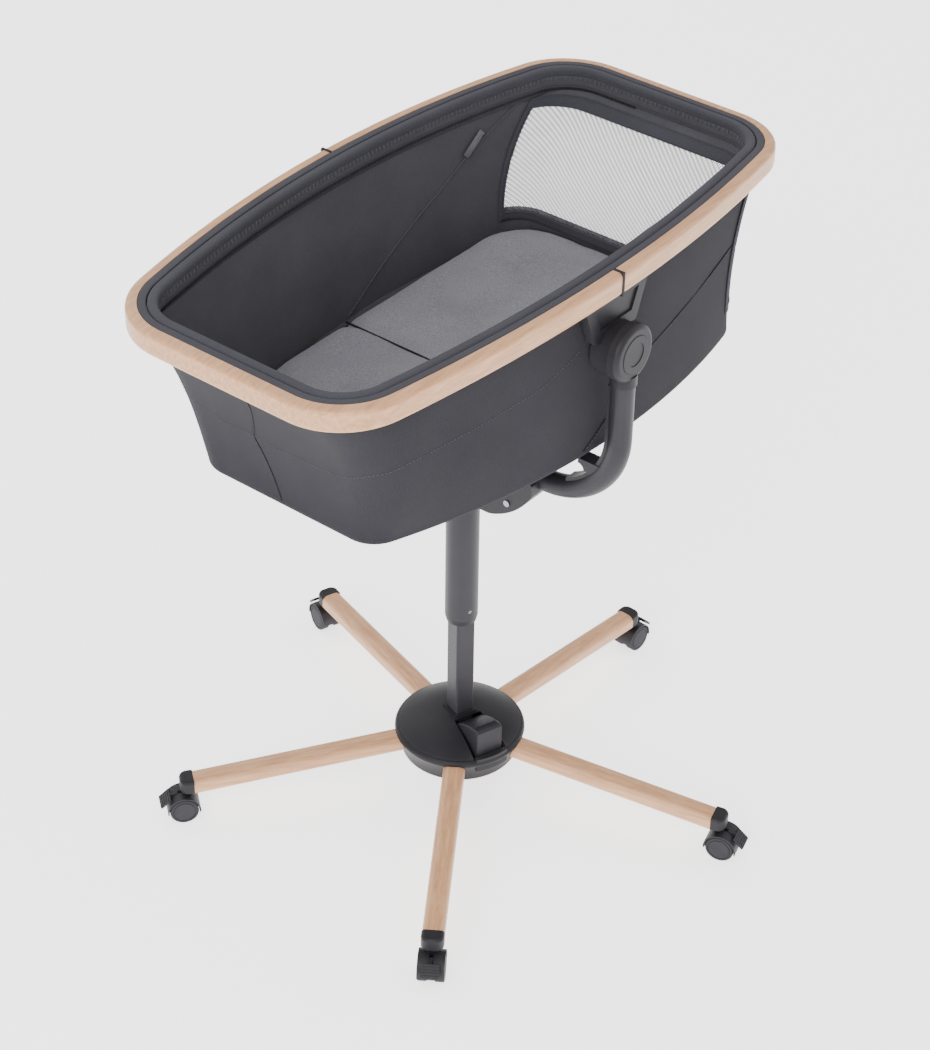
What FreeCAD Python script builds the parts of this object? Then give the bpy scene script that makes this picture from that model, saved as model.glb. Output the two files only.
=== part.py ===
"""Bassinet on a height-adjustable stand.

A bowed oval basket with a wooden rim hangs between the arms of a bent yoke.  The yoke sits on a
telescopic column, which stands on a hub with five wooden legs and braked twin-wheel casters.
Millimetres, +Z up, +X towards the head end of the basket.  The origin is on the floor, below the
column's axis.  Near means the side at -Y, and far the side at +Y.
"""
import FreeCAD, Part
import math
import os

V = FreeCAD.Vector
Z_AXIS = V(0, 0, 1)
Y_AXIS = V(0, 1, 0)

os.makedirs("parts", exist_ok=True)

# ---------------------------------------------------------------- driving dimensions
# Rim of the basket: lines are measured at the inner edge of the wooden band
rim_half_length = 426.0
rim_half_width = 220.0
rim_bow_radius = 1831.0        # plan radius of the long sides
rim_corner_radius = 84.0
rim_top_height = 915.5         # at mid length, basket at its pictured height
rim_droop_radius = 10000.0     # the rim falls towards its ends on this large radius
wood_thickness = 14.0
wood_height = 30.0
wood_edge_round = 6.0
joint_ring_width = 4.0         # dark ring between the two halves of the wooden band
joint_ring_proud = 0.8
channel_width = 13.0
channel_height = 22.0
channel_wall = 2.0
trim_width = 24.0
trim_height = 11.0

# Fabric basket
shell_rim_inset = 8.0          # outside of the fabric, from the rim line, under the rim
shell_waist_inset = 70.0       # how far the end walls have come in at the waist
shell_waist_drop = 125.0       # waist below the top of the fabric
shell_head_tuck = 10.0         # the head wall comes in this much further at the waist
shell_bottom_inset = 86.0      # how far the end walls have come in at the bottom
shell_side_swell = 3.0         # how far the side walls swell out at the bottom
shell_bottom_bow_radius = 1036.0
shell_bottom_bow_shift = 70.0  # the bottom is widest here, and narrower at the foot end
shell_depth = 229.0            # top of the fabric to its underside
shell_corner_radius = 76.0
shell_bottom_corner_radius = 44.0
shell_wall = 3.0
liner_gap = 4.0
liner_wall = 2.5
board_thickness = 5.0
mattress_thickness = 37.0
mattress_side_gap = 1.5
mattress_half_width = 177.0    # its long edges are straight and stand clear of the walls
mattress_corner_radius = 85.0
window_low = 54.0              # bottom edge of the head window above the fabric's underside
window_high = 196.0
window_start = 104.0           # the window reaches this far from the head end along the sides

# Yoke and tilt hubs
hub_drop = 102.5               # hub axis below the top of the rim
hub_radius = 37.5
hub_step = 3.5                 # inner half smaller than the outer by this much in radius
hub_outer_depth = 15.0         # outer housing, from the seam outwards
hub_inner_depth = 27.0         # inner half, from the seam inwards
hub_wall = 4.0
hub_seam_gap = 0.4
button_margin = 12.9           # hub's edge to the button's edge
button_recess = 5.5
button_travel = 4.0
badge_margin = 9.0             # button's edge to the badge's edge
pivot_radius = 6.0
arm_gap = 8.0                  # wooden band to the centre plane of the yoke's arms
yoke_radius = 15.0
yoke_wall = 2.5
yoke_bend_radius = 110.0
yoke_depth = 238.0             # hub axis to the yoke's level stretch
neck_wall = 1.8
neck_length = 15.0
rest_block_drop = 19.5         # top of the rest block below the fabric, clear of the tilted basket
rest_block_half_width = 10.0
rest_block_depth = 16.0
rest_block_reach = 27.0
cover_strip_half_width = 9.0
cover_strip_thickness = 1.6      # thin enough to clear the tilted basket's lower edge
saddle_half_width = 26.0
saddle_half_span = 130.0
saddle_drop = 75.0             # from the yoke's axis to the saddle's underside
saddle_foot_half = 50.0
saddle_sleeve_depth = 11.5
saddle_sleeve_wall = 4.5
saddle_screw_radius = 2.5

# Telescopic column
column_side = 28.0
column_wall = 2.0
column_corner = 3.0
lift_tube_margin = 0.7         # round bore to the square column's corners, before rounding
lift_tube_wall = 2.0
lift_drop = 150.0              # travel down from the pictured height
lift_rise = 40.0               # travel up from the pictured height
bush_inside_length = 40.0
bush_nose = 8.5
bush_screw_height = 15.0
bush_screw_radius = 2.4
guide_height = 20.0
gas_cylinder_radius = 10.0
gas_cylinder_wall = 2.0
gas_rod_radius = 4.0

# Base
base_turn = -20.05             # the base's line of symmetry, turned from square with the basket
leg_count = 5
leg_width = 30.0
leg_height = 25.0
leg_end_radius = 376.0         # wood ends here
leg_end_rise = 21.5            # top of the leg above the underside of its end cap
leg_top_hub = 94.0             # top of the leg where it leaves the hub
leg_corner = 9.0
leg_inner_radius = 54.0
tongue_width = 16.0
tongue_height = 9.0
tongue_length = 58.0
base_hub_radius = 90.5
base_hub_bottom_radius = 81.0
base_hub_bottom = 63.0
cover_radius = 85.8
cover_edge_height = 101.5
cover_top_height = 126.5
base_wall = 3.0
socket_wall = 4.0
spider_plate = 5.0
spider_bottom = 67.0
spider_hub_radius = 52.0
column_foot = 86.0

# Foot pedal
pedal_half_width = 19.5
pedal_front = 79.0
pedal_front_top = 145.0
pedal_rear_top = 123.0
pedal_rear = 25.0
pedal_underside = 101.0
pedal_front_low = 95.0
pedal_front_depth = 15.0
pedal_wall = 3.0
pedal_pivot_out = 36.0
pedal_pivot_height = 108.0
pedal_pin_radius = 3.0
pocket_half_inner = 21.0
pocket_half_outer = 27.0
rib_count = 3

# Casters
wheel_radius = 20.0
wheel_width = 13.0
wheel_gap = 10.0               # between the inner faces of the twin wheels
caster_trail = 9.0
caster_axis_radius = 383.0
hood_clearance = 1.0
hood_wall = 2.0
axle_radius = 3.0
stem_radius = 5.0
stem_length = 12.5             # stem inside its cap
cap_length = 19.0
cap_clearance = 4.5            # hood to the underside of the leg's end cap
brake_slot = 5.4
brake_plate_width = 24.0
brake_plate_length = 19.0
brake_plate_thickness = 3.2
brake_pivot_out = 5.0          # from the axle
brake_pivot_rise = 16.0        # above the axle
brake_plate_stand = 5.1        # hood to the brake plate's upper edge
brake_plate_place = 50.2       # degrees round the axle to that edge
brake_plate_slope = -42.0

# Clearances
loose = 0.3                    # between pieces that only lie side by side
running = 0.05                 # radial, on pins and shafts
slide_fit = 0.08               # on the telescopic column

# ---------------------------------------------------------------- derived places
hub_inner_radius = hub_radius - hub_step
button_radius = hub_radius - button_margin
badge_radius = button_radius - badge_margin
hub_z = rim_top_height - hub_drop
yoke_z = hub_z - yoke_depth
arm_y = rim_half_width + wood_thickness + arm_gap
arm_top = hub_z - hub_inner_radius - 1.6
pin_outer = -arm_y - hub_seam_gap / 2 - hub_outer_depth + button_recess + 0.6
saddle_screw_z = yoke_z - 42.0
channel_low = wood_height - 1.5
shell_top = rim_top_height - channel_low
shell_bottom = shell_top - shell_depth
board_low = shell_bottom + shell_wall + loose
liner_low = board_low + board_thickness + loose
mattress_low = liner_low + liner_wall + loose
window_z = (shell_bottom + window_low, shell_bottom + window_high)

column_half = column_side / 2
lift_tube_inner = column_half * math.sqrt(2.0) + lift_tube_margin
lift_tube_radius = lift_tube_inner + lift_tube_wall
lift_tube_top = yoke_z - yoke_radius - 3.0
bush_low = cover_top_height + lift_drop + 8.5
lift_tube_low = bush_low + bush_nose
column_top = lift_tube_top - lift_drop - 12.0
gas_low = column_foot + 4.0
gas_top = column_top - 4.0

pedal_angle = 270.0 + base_turn
leg_angles = [pedal_angle - 180.0 / leg_count + i * 360.0 / leg_count for i in range(leg_count)]
wheel_half_width = wheel_gap / 2 + wheel_width
hood_inner = wheel_radius + hood_clearance
hood_outer = hood_inner + hood_wall
hood_top = wheel_radius + hood_outer
cap_low = hood_top + cap_clearance
stem_top = cap_low + stem_length
leg_top_outer = cap_low + leg_end_rise
leg_slope = (leg_top_hub - leg_top_outer) / (leg_end_radius - base_hub_radius)


# ---------------------------------------------------------------- helpers
def box(x0, x1, y0, y1, z0, z1):
    """Axis-aligned block between two corners."""
    return Part.makeBox(x1 - x0, y1 - y0, z1 - z0, V(x0, y0, z0))


def rod(radius, start, end):
    """Cylinder between two points."""
    along = end - start
    return Part.makeCylinder(radius, along.Length, start, along)


def prism(points, thickness, direction):
    """Polygon face through the points, centred and extruded along direction."""
    shift = direction * (-thickness / 2)
    wire = Part.makePolygon([p + shift for p in points + points[:1]])
    return Part.Face(wire).extrude(direction * thickness)


def mirrored(shape):
    """The same shape on the far side."""
    return shape.mirror(V(0, 0, 0), Y_AXIS)


def turned(shape, angle):
    """Copy turned about the column's axis."""
    copy = shape.copy()
    copy.rotate(V(0, 0, 0), Z_AXIS, angle)
    return copy


def arc(a, b, c):
    return Part.Arc(a, b, c).toShape()


def line(a, b):
    return Part.LineSegment(a, b).toShape()


def save(name, shape):
    """Write one node's solid or group of solids."""
    if len(shape.Solids) == 1:
        shape = shape.Solids[0]
    shape.exportStep("parts/" + name + ".step")


def rounded_square(half, corner, z_low, z_high):
    """Square bar about the column's axis, its faces square with the pedal."""
    bar = box(-half, half, -half, half, z_low, z_high)
    edges = [e for e in bar.Edges if abs(e.tangentAt(e.FirstParameter).z) > 0.9]
    return turned(bar.makeFillet(corner, edges), pedal_angle)


def bowed_outline(half_length, half_width, bow_radius, corner_radius, z, bow_shift=0.0):
    """Closed outline with bowed long sides, straight ends and tangent corner arcs.

    The widest place lies at bow_shift along X, so one end can be narrower than the other.
    """
    side_centre = half_width - bow_radius
    reach = bow_radius - corner_radius

    def end_points(side):
        corner_x = side * (half_length - corner_radius)
        corner_y = side_centre + math.sqrt(reach ** 2 - (corner_x - bow_shift) ** 2)
        share = bow_radius / reach
        touch = V(bow_shift + (corner_x - bow_shift) * share,
                  side_centre + (corner_y - side_centre) * share, z)
        start = math.atan2(touch.y - corner_y, side * (touch.x - corner_x))
        middle = V(corner_x + side * corner_radius * math.cos(start / 2),
                   corner_y + corner_radius * math.sin(start / 2), z)
        return touch, middle, V(side * half_length, corner_y, z)

    def near(p):
        return V(p.x, -p.y, z)

    head = end_points(1)
    foot = end_points(-1)
    widest = V(bow_shift, half_width, z)
    edges = []
    edges.append(arc(foot[0], widest, head[0]))
    edges.append(arc(head[0], head[1], head[2]))
    edges.append(line(head[2], near(head[2])))
    edges.append(arc(near(head[2]), near(head[1]), near(head[0])))
    edges.append(arc(near(head[0]), near(widest), near(foot[0])))
    edges.append(arc(near(foot[0]), near(foot[1]), near(foot[2])))
    edges.append(line(near(foot[2]), foot[2]))
    edges.append(arc(foot[2], foot[1], foot[0]))
    return Part.Wire(edges)


def rim_outline(offset, z):
    """The rim line moved outwards by offset."""
    return bowed_outline(rim_half_length + offset, rim_half_width + offset,
                         rim_bow_radius + offset, rim_corner_radius + offset, z)


def droop_slab(drop_top, drop_low):
    """Slab that follows the rim's droop, between two depths below the rim's top."""
    reach = rim_half_length + 60.0
    wide = rim_half_width + 60.0
    centre = rim_top_height - rim_droop_radius

    def height(x, drop):
        return centre + math.sqrt((rim_droop_radius - drop) ** 2 - x * x)

    def point(x, drop):
        return V(x, -wide, height(x, drop))

    edges = []
    edges.append(arc(point(-reach, drop_top), point(0, drop_top), point(reach, drop_top)))
    edges.append(line(point(reach, drop_top), point(reach, drop_low)))
    edges.append(arc(point(reach, drop_low), point(0, drop_low), point(-reach, drop_low)))
    edges.append(line(point(-reach, drop_low), point(-reach, drop_top)))
    return Part.Face(Part.Wire(edges)).extrude(V(0, 2 * wide, 0))


def rim_band(outer, inner, drop_top, drop_low):
    """Band of the rim between two offsets from the rim line and two depths."""
    base = rim_top_height - 80.0
    tall = V(0, 0, 120.0)
    outside = Part.Face(rim_outline(outer, base)).extrude(tall)
    inside = Part.Face(rim_outline(inner, base)).extrude(tall)
    return outside.cut(inside).common(droop_slab(drop_top, drop_low))


def bottom_outline(inset, z):
    """Outline of the basket's underside, moved inwards."""
    return bowed_outline(rim_half_length - shell_bottom_inset - inset,
                         rim_half_width - shell_rim_inset + shell_side_swell - inset,
                         shell_bottom_bow_radius - inset,
                         shell_bottom_corner_radius - inset, z, shell_bottom_bow_shift)


def shell_levels(inset):
    """Outlines of the basket wall at its underside, waist and rim, moved inwards."""
    rim = rim_outline(-shell_rim_inset - inset, shell_top)
    tuck = shell_head_tuck / 2
    waist = bowed_outline(rim_half_length - shell_waist_inset - tuck - inset,
                          rim_half_width - shell_rim_inset + shell_side_swell / 2 - inset,
                          (rim_bow_radius + shell_bottom_bow_radius) / 2 - inset,
                          (shell_corner_radius + shell_bottom_corner_radius) / 2 - inset,
                          shell_top - shell_waist_drop, shell_bottom_bow_shift / 2 + tuck)
    waist.translate(V(-tuck, 0, 0))
    return [bottom_outline(inset, shell_bottom), waist, rim]


def basket_form(inset, low):
    """Solid form of the basket below the rim, moved inwards and closed at low."""
    form = Part.makeLoft(shell_levels(inset), True, True)
    far = rim_half_length + 20.0
    above = box(-far, far, -far, far, low, shell_top + 20.0)
    return form.common(above).cut(droop_slab(-60.0, channel_low + loose))


# ---------------------------------------------------------------- rim and basket
def make_wood():
    """The wooden band in two halves, and the dark rings that join them."""
    band = rim_band(wood_thickness, 0.0, 0.0, wood_height)
    outer_edges = []
    for edge in band.Edges:
        mid = edge.valueAt((edge.FirstParameter + edge.LastParameter) / 2)
        level = abs(edge.tangentAt(edge.FirstParameter).z) < 0.3
        inner_line = Part.Face(rim_outline(wood_thickness / 2, mid.z))
        if level and not inner_line.isInside(mid, 0.01, True):
            outer_edges.append(edge)
    band = band.makeFillet(wood_edge_round, outer_edges)
    far = rim_half_length + 60.0
    half_gap = joint_ring_width / 2
    wide = rim_half_width + 60.0
    tall = (rim_top_height - 80.0, rim_top_height + 20.0)
    head = band.common(box(half_gap, far, -wide, wide, *tall))
    foot = band.common(box(-far, -half_gap, -wide, wide, *tall))
    proud = rim_band(wood_thickness + joint_ring_proud, 0.0, -joint_ring_proud,
                     wood_height + joint_ring_proud)
    rings = proud.common(box(-half_gap, half_gap, -wide, wide, *tall))
    save("wood_rim_head", head)
    save("wood_rim_foot", foot)
    save("rim_joint_rings", rings)


def make_rim_channel():
    """Aluminium channel behind the wood: fabric, wood and tilt brackets fasten to it."""
    low = channel_low
    channel = rim_band(-loose, -channel_width, low - channel_height, low)
    groove = rim_band(-loose - channel_wall, -channel_width + channel_wall,
                      low - channel_height - 1.0, low - channel_wall)
    save("rim_channel", channel.cut(groove))


def make_rim_trim():
    """Soft trim that covers the channel's mouth and turns in over the liner."""
    trim = rim_band(-loose, -trim_width, 0.0, channel_low - channel_height - loose)
    lip = rim_band(-channel_width - loose, -trim_width, 0.0, trim_height + 4.0)
    save("rim_trim", trim.fuse(lip).removeSplitter())


def window_box(margin):
    """Block that cuts the head window, grown by margin."""
    start = rim_half_length - window_start
    wide = rim_half_width + 30.0
    return box(start - margin, rim_half_length + 60.0, -wide, wide,
               window_z[0] - margin, window_z[1] + margin)


def make_basket():
    """Fabric shell with a closed bottom, an open top and a window at the head end."""
    outer = basket_form(0.0, shell_bottom)
    inner = basket_form(shell_wall, shell_bottom + shell_wall)
    save("basket_shell", outer.cut(inner).cut(window_box(6.0)))


def make_liner():
    """Inner fabric, and the mesh panel that fills its window."""
    inset = shell_wall + liner_gap
    outer = basket_form(inset, liner_low)
    inner = basket_form(inset + liner_wall, liner_low + liner_wall)
    liner = outer.cut(inner)
    save("liner", liner.cut(window_box(0.0)))
    save("mesh_window", liner.common(window_box(-loose)))


def flat_pad(inset, low, high):
    """Flat slab that fills the bottom of the basket, less inset all round."""
    return Part.Face(bottom_outline(inset, low)).extrude(V(0, 0, high - low))


def make_board_and_mattress():
    save("base_board", flat_pad(shell_wall + 1.0, board_low, board_low + board_thickness))
    inset = shell_wall + liner_gap + liner_wall + mattress_side_gap
    save("mattress", pad_form(bottom_outline, inset).common(pad_form(straight_outline, 0.0)))


def straight_outline(inset, z):
    """Straight-sided outline of the mattress with broad corners, moved inwards."""
    straight = 60000.0
    return bowed_outline(rim_half_length - shell_bottom_inset - inset, mattress_half_width - inset,
                         straight, mattress_corner_radius - inset, z)


def pad_form(outline, inset):
    """Pad of the mattress's thickness with bevelled upper edges, within an outline."""
    bevel = mattress_thickness / 5
    bevel_low = mattress_low + mattress_thickness - bevel
    pad = Part.Face(outline(inset, mattress_low)).extrude(V(0, 0, bevel_low - mattress_low))
    edge = [outline(inset, bevel_low), outline(inset + bevel, bevel_low + bevel)]
    return pad.fuse(Part.makeLoft(edge, True, True)).removeSplitter()


# ---------------------------------------------------------------- tilt hubs
def make_bracket():
    """Tilt bracket under the rim: recessed plate, with the hub's inner half on it."""
    seam = -arm_y + hub_seam_gap / 2
    inner = seam + hub_inner_depth
    disc = rod(hub_inner_radius, V(0, seam, hub_z), V(0, inner, hub_z))
    rim_edges = [e for e in disc.Edges if e.BoundBox.YMax < seam + 0.1]
    disc = disc.makeFillet(1.2, rim_edges)
    top = rim_top_height - wood_height - 1.0
    plate_top = 61.0
    plate_low = 41.0
    low = hub_z + hub_inner_radius * 0.55
    plate_depth = 12.0
    centre = inner - plate_depth / 2
    outline = [V(-plate_top, centre, top), V(plate_top, centre, top),
               V(plate_low, centre, low), V(-plate_low, centre, low)]
    plate = prism(outline, plate_depth, Y_AXIS)
    corner_edges = [e for e in plate.Edges if abs(e.tangentAt(e.FirstParameter).y) > 0.9]
    plate = plate.makeFillet(5.0, [e for e in corner_edges if e.BoundBox.ZMax < top - 5.0])
    margin = 14.0
    recess = [V(-plate_top + margin + 4.0, centre, top - 7.0),
              V(plate_top - margin - 4.0, centre, top - 7.0),
              V(plate_low - margin + 4.0, centre, hub_z + hub_inner_radius + 1.5),
              V(-plate_low + margin - 4.0, centre, hub_z + hub_inner_radius + 1.5)]
    pocket = prism(recess, 5.0, Y_AXIS)
    pocket.translate(V(0, -plate_depth / 2, 0))
    bore = rod(pivot_radius + running, V(0, seam - 1.0, hub_z), V(0, inner + 1.0, hub_z))
    bracket = disc.fuse(plate).cut(pocket).cut(bore)
    save("tilt_bracket_near", bracket)
    save("tilt_bracket_far", mirrored(bracket))


def make_hub_housing():
    """Outer half of the tilt hub, with the neck that takes the yoke's arm."""
    seam = -arm_y - hub_seam_gap / 2
    face = seam - hub_outer_depth
    shell = rod(hub_radius, V(0, seam, hub_z), V(0, face, hub_z))
    front = [e for e in shell.Edges if e.BoundBox.YMax < face + 0.1]
    shell = shell.makeFillet(7.0, front)
    cavity = rod(hub_radius - hub_wall, V(0, seam + 1.0, hub_z), V(0, face + hub_wall + button_recess, hub_z))
    boss = rod(pivot_radius + 4.0, V(0, seam - 2.0, hub_z), V(0, face + hub_wall + button_recess, hub_z))
    recess = rod(button_radius + loose, V(0, face - 1.0, hub_z), V(0, face + button_recess, hub_z))
    neck_low = hub_z - hub_radius - 9.0
    neck_top = neck_low + neck_length
    neck = rod(yoke_radius + neck_wall, V(0, -arm_y, neck_low), V(0, -arm_y, neck_top))
    inner_clear = rod(hub_inner_radius + 1.5, V(0, seam, hub_z), V(0, seam + 60.0, hub_z))
    neck = neck.cut(inner_clear)
    neck_bore = rod(yoke_radius, V(0, -arm_y, neck_low - 1.0), V(0, -arm_y, arm_top))
    housing = shell.cut(cavity.cut(boss)).fuse(neck).cut(recess).cut(neck_bore)
    pin_hole = rod(pivot_radius, V(0, seam + 1.0, hub_z), V(0, pin_outer, hub_z))
    housing = housing.cut(pin_hole)
    save("hub_housing_near", housing)
    save("hub_housing_far", mirrored(housing))


def make_button():
    """Release button in the hub's face: a domed disc with a plain sunken badge."""
    face = -arm_y - hub_seam_gap / 2 - hub_outer_depth
    back = face + button_recess - button_travel - loose
    disc = rod(button_radius, V(0, back, hub_z), V(0, face - 0.8, hub_z))
    front = [e for e in disc.Edges if e.BoundBox.YMax < face - 0.7]
    disc = disc.makeFillet(0.9, front)
    badge = rod(badge_radius, V(0, face - 2.0, hub_z), V(0, face, hub_z))
    button = disc.cut(badge)
    save("tilt_button_near", button)
    save("tilt_button_far", mirrored(button))


def make_pivot_pins():
    """The two pins on which the basket tilts."""
    inner = -arm_y + hub_seam_gap / 2 + hub_inner_depth - 1.0
    pin = rod(pivot_radius, V(0, pin_outer, hub_z), V(0, inner, hub_z))
    save("pivot_pins", Part.makeCompound([pin, mirrored(pin)]))


# ---------------------------------------------------------------- yoke and saddle
def yoke_path():
    """Centre line of the yoke: arm, bend, level stretch, bend, arm."""
    bend_y = arm_y - yoke_bend_radius
    bend_z = yoke_z + yoke_bend_radius
    diagonal = yoke_bend_radius * math.sqrt(0.5)
    edges = []
    edges.append(line(V(0, -arm_y, arm_top), V(0, -arm_y, bend_z)))
    edges.append(arc(V(0, -arm_y, bend_z), V(0, -bend_y - diagonal, bend_z - diagonal),
                     V(0, -bend_y, yoke_z)))
    edges.append(line(V(0, -bend_y, yoke_z), V(0, bend_y, yoke_z)))
    edges.append(arc(V(0, bend_y, yoke_z), V(0, bend_y + diagonal, bend_z - diagonal),
                     V(0, arm_y, bend_z)))
    edges.append(line(V(0, arm_y, bend_z), V(0, arm_y, arm_top)))
    return Part.Wire(edges)


def yoke_bar(radius):
    circle = Part.Circle(V(0, -arm_y, arm_top), V(0, 0, -1), radius).toShape()
    return yoke_path().makePipeShell([Part.Wire([circle])], True, False)


def make_yoke():
    save("yoke_tube", yoke_bar(yoke_radius).cut(yoke_bar(yoke_radius - yoke_wall)))


def make_arm_covers():
    """Strips that line the inside of each arm and bend, with a scalloped rest block."""
    bend_y = arm_y - yoke_bend_radius
    bend_z = yoke_z + yoke_bend_radius
    inner = yoke_bend_radius - yoke_radius
    top = shell_bottom - rest_block_drop
    block_y = -bend_y - math.sqrt(inner ** 2 - (bend_z - top) ** 2)
    block_low = top - rest_block_depth
    block = box(-rest_block_half_width, rest_block_half_width, block_y - 12.0,
                block_y + rest_block_reach, block_low, top)
    scallop = rod(9.0, V(-40.0, block_y + rest_block_reach, block_low),
                  V(40.0, block_y + rest_block_reach, block_low))
    half = cover_strip_half_width
    face = inner - cover_strip_thickness
    axis_low = V(-half, -bend_y, bend_z)
    axis_high = V(half, -bend_y, bend_z)
    ring = rod(inner + 6.0, axis_low, axis_high).cut(rod(face, axis_low, axis_high))
    quadrant = box(-half, half, -bend_y - inner - 8.0, -bend_y - 38.0, bend_z - inner, bend_z)
    straight = box(-half, half, -bend_y - inner - 6.0, -bend_y - face, bend_z,
                   hub_z - hub_radius - 14.0)
    cover = ring.common(quadrant).fuse(straight).fuse(block.cut(scallop)).removeSplitter()
    cover = cover.cut(yoke_bar(yoke_radius))
    inside = [s for s in cover.Solids if s.CenterOfMass.y > -arm_y + yoke_radius - 4.0]
    piece = max(inside, key=lambda solid: solid.Volume)
    save("arm_covers", Part.makeCompound([piece, mirrored(piece)]))


def make_saddle():
    """Casting that clamps the yoke's level stretch on top of the lift tube."""
    top = yoke_z + yoke_radius + 4.0
    low = yoke_z - saddle_drop
    shoulder = yoke_z - yoke_radius - 1.0
    flare = V(0, saddle_half_span - 29.0, yoke_z - 51.0)
    edges = []
    edges.append(line(V(0, -saddle_half_span + 12.0, top), V(0, saddle_half_span - 12.0, top)))
    edges.append(line(V(0, saddle_half_span - 12.0, top), V(0, saddle_half_span, yoke_z)))
    edges.append(line(V(0, saddle_half_span, yoke_z), V(0, saddle_half_span, shoulder)))
    edges.append(arc(V(0, saddle_half_span, shoulder), flare, V(0, saddle_foot_half, low)))
    edges.append(line(V(0, saddle_foot_half, low), V(0, -saddle_foot_half, low)))
    edges.append(arc(V(0, -saddle_foot_half, low), V(0, -flare.y, flare.z),
                     V(0, -saddle_half_span, shoulder)))
    edges.append(line(V(0, -saddle_half_span, shoulder), V(0, -saddle_half_span, yoke_z)))
    edges.append(line(V(0, -saddle_half_span, yoke_z), V(0, -saddle_half_span + 12.0, top)))
    face = Part.Face(Part.Wire(edges))
    body = face.extrude(V(2 * saddle_half_width, 0, 0))
    body.translate(V(-saddle_half_width, 0, 0))
    block = box(-saddle_half_width, saddle_half_width, -saddle_half_span, saddle_half_span, low, top)
    long_edges = [e for e in block.Edges if e.BoundBox.YLength > saddle_half_span]
    body = body.common(block.makeFillet(6.0, long_edges))
    beyond = saddle_half_span + 1.0
    body = body.cut(rod(yoke_radius, V(0, -beyond, yoke_z), V(0, beyond, yoke_z)))
    for y in saddle_screw_places():
        body = body.cut(rod(saddle_screw_radius, V(-60.0, y, saddle_screw_z), V(60.0, y, saddle_screw_z)))
    sleeve_low = low - saddle_sleeve_depth
    sleeve = rod(lift_tube_radius + saddle_sleeve_wall, V(0, 0, sleeve_low), V(0, 0, low + 8.0))
    body = body.fuse(sleeve)
    body = body.cut(rod(lift_tube_radius, V(0, 0, sleeve_low - 1.0), V(0, 0, lift_tube_top)))
    body = body.cut(rod(gas_rod_radius, V(0, 0, lift_tube_top - 1.0), V(0, 0, lift_tube_top + 1.5)))
    save("yoke_saddle", body)


def saddle_screw_places():
    return (-92.0, 92.0)


def make_lift_screws():
    """Cross screws of the saddle, and the small screw that holds the lower bush."""
    pieces = []
    for y in saddle_screw_places():
        shank = rod(saddle_screw_radius, V(-saddle_half_width, y, saddle_screw_z),
                    V(saddle_half_width, y, saddle_screw_z))
        head = rod(saddle_screw_radius * 1.8, V(-saddle_half_width - 1.8, y, saddle_screw_z),
                   V(-saddle_half_width, y, saddle_screw_z))
        nut = rod(saddle_screw_radius * 1.8, V(saddle_half_width, y, saddle_screw_z),
                  V(saddle_half_width + 1.8, y, saddle_screw_z))
        pieces.append(shank.fuse(head).fuse(nut).removeSplitter())
    height = lift_tube_low + bush_screw_height
    small = rod(bush_screw_radius, V(lift_tube_inner - 3.0, 0, height), V(lift_tube_radius - 0.3, 0, height))
    socket = rod(bush_screw_radius * 0.5, V(lift_tube_radius - 1.6, 0, height), V(lift_tube_radius, 0, height))
    pieces.append(turned(small.cut(socket), pedal_angle))
    save("lift_screws", Part.makeCompound(pieces))


# ---------------------------------------------------------------- column
def make_lift_tube():
    tube = rod(lift_tube_radius, V(0, 0, lift_tube_low), V(0, 0, lift_tube_top))
    bore = rod(lift_tube_inner, V(0, 0, lift_tube_low - 1.0), V(0, 0, lift_tube_top + 1.0))
    height = lift_tube_low + bush_screw_height
    hole = turned(rod(bush_screw_radius, V(0, 0, height), V(lift_tube_radius + 1.0, 0, height)), pedal_angle)
    save("lift_tube", tube.cut(bore).cut(hole))


def make_tube_bush():
    """Bush at the mouth of the lift tube, with a tapered nose and a square hole."""
    inside = rod(lift_tube_inner, V(0, 0, lift_tube_low), V(0, 0, lift_tube_low + bush_inside_length))
    nose = Part.makeCone(column_half * math.sqrt(2.0) + 0.6, lift_tube_radius, bush_nose, V(0, 0, bush_low))
    hole = rounded_square(column_half + slide_fit, column_corner, bush_low - 1.0,
                          lift_tube_low + bush_inside_length + 1.0)
    height = lift_tube_low + bush_screw_height
    screw = turned(rod(bush_screw_radius, V(lift_tube_inner - 3.0, 0, height),
                       V(lift_tube_radius, 0, height)), pedal_angle)
    save("tube_bush", inside.fuse(nose).removeSplitter().cut(hole).cut(screw))


def make_column():
    """Square inner tube, and the round guide that keeps its top central in the lift tube."""
    outer = rounded_square(column_half, column_corner, column_foot, column_top)
    inner = rounded_square(column_half - column_wall, column_corner - 1.5, column_foot - 1.0, column_top + 1.0)
    tube = outer.cut(inner)
    for side in (-1, 1):
        tube = tube.cut(turned(column_screw(side), pedal_angle))
    save("column_tube", tube)
    guide_low = column_top - guide_height + 4.0
    guide = rod(lift_tube_inner - slide_fit, V(0, 0, guide_low), V(0, 0, column_top + 4.0))
    guide = guide.cut(rounded_square(column_half, column_corner, guide_low - 1.0, column_top))
    guide = guide.cut(rod(gas_rod_radius + 0.5, V(0, 0, column_top - 1.0), V(0, 0, column_top + 5.0)))
    save("column_guide", guide)


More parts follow.
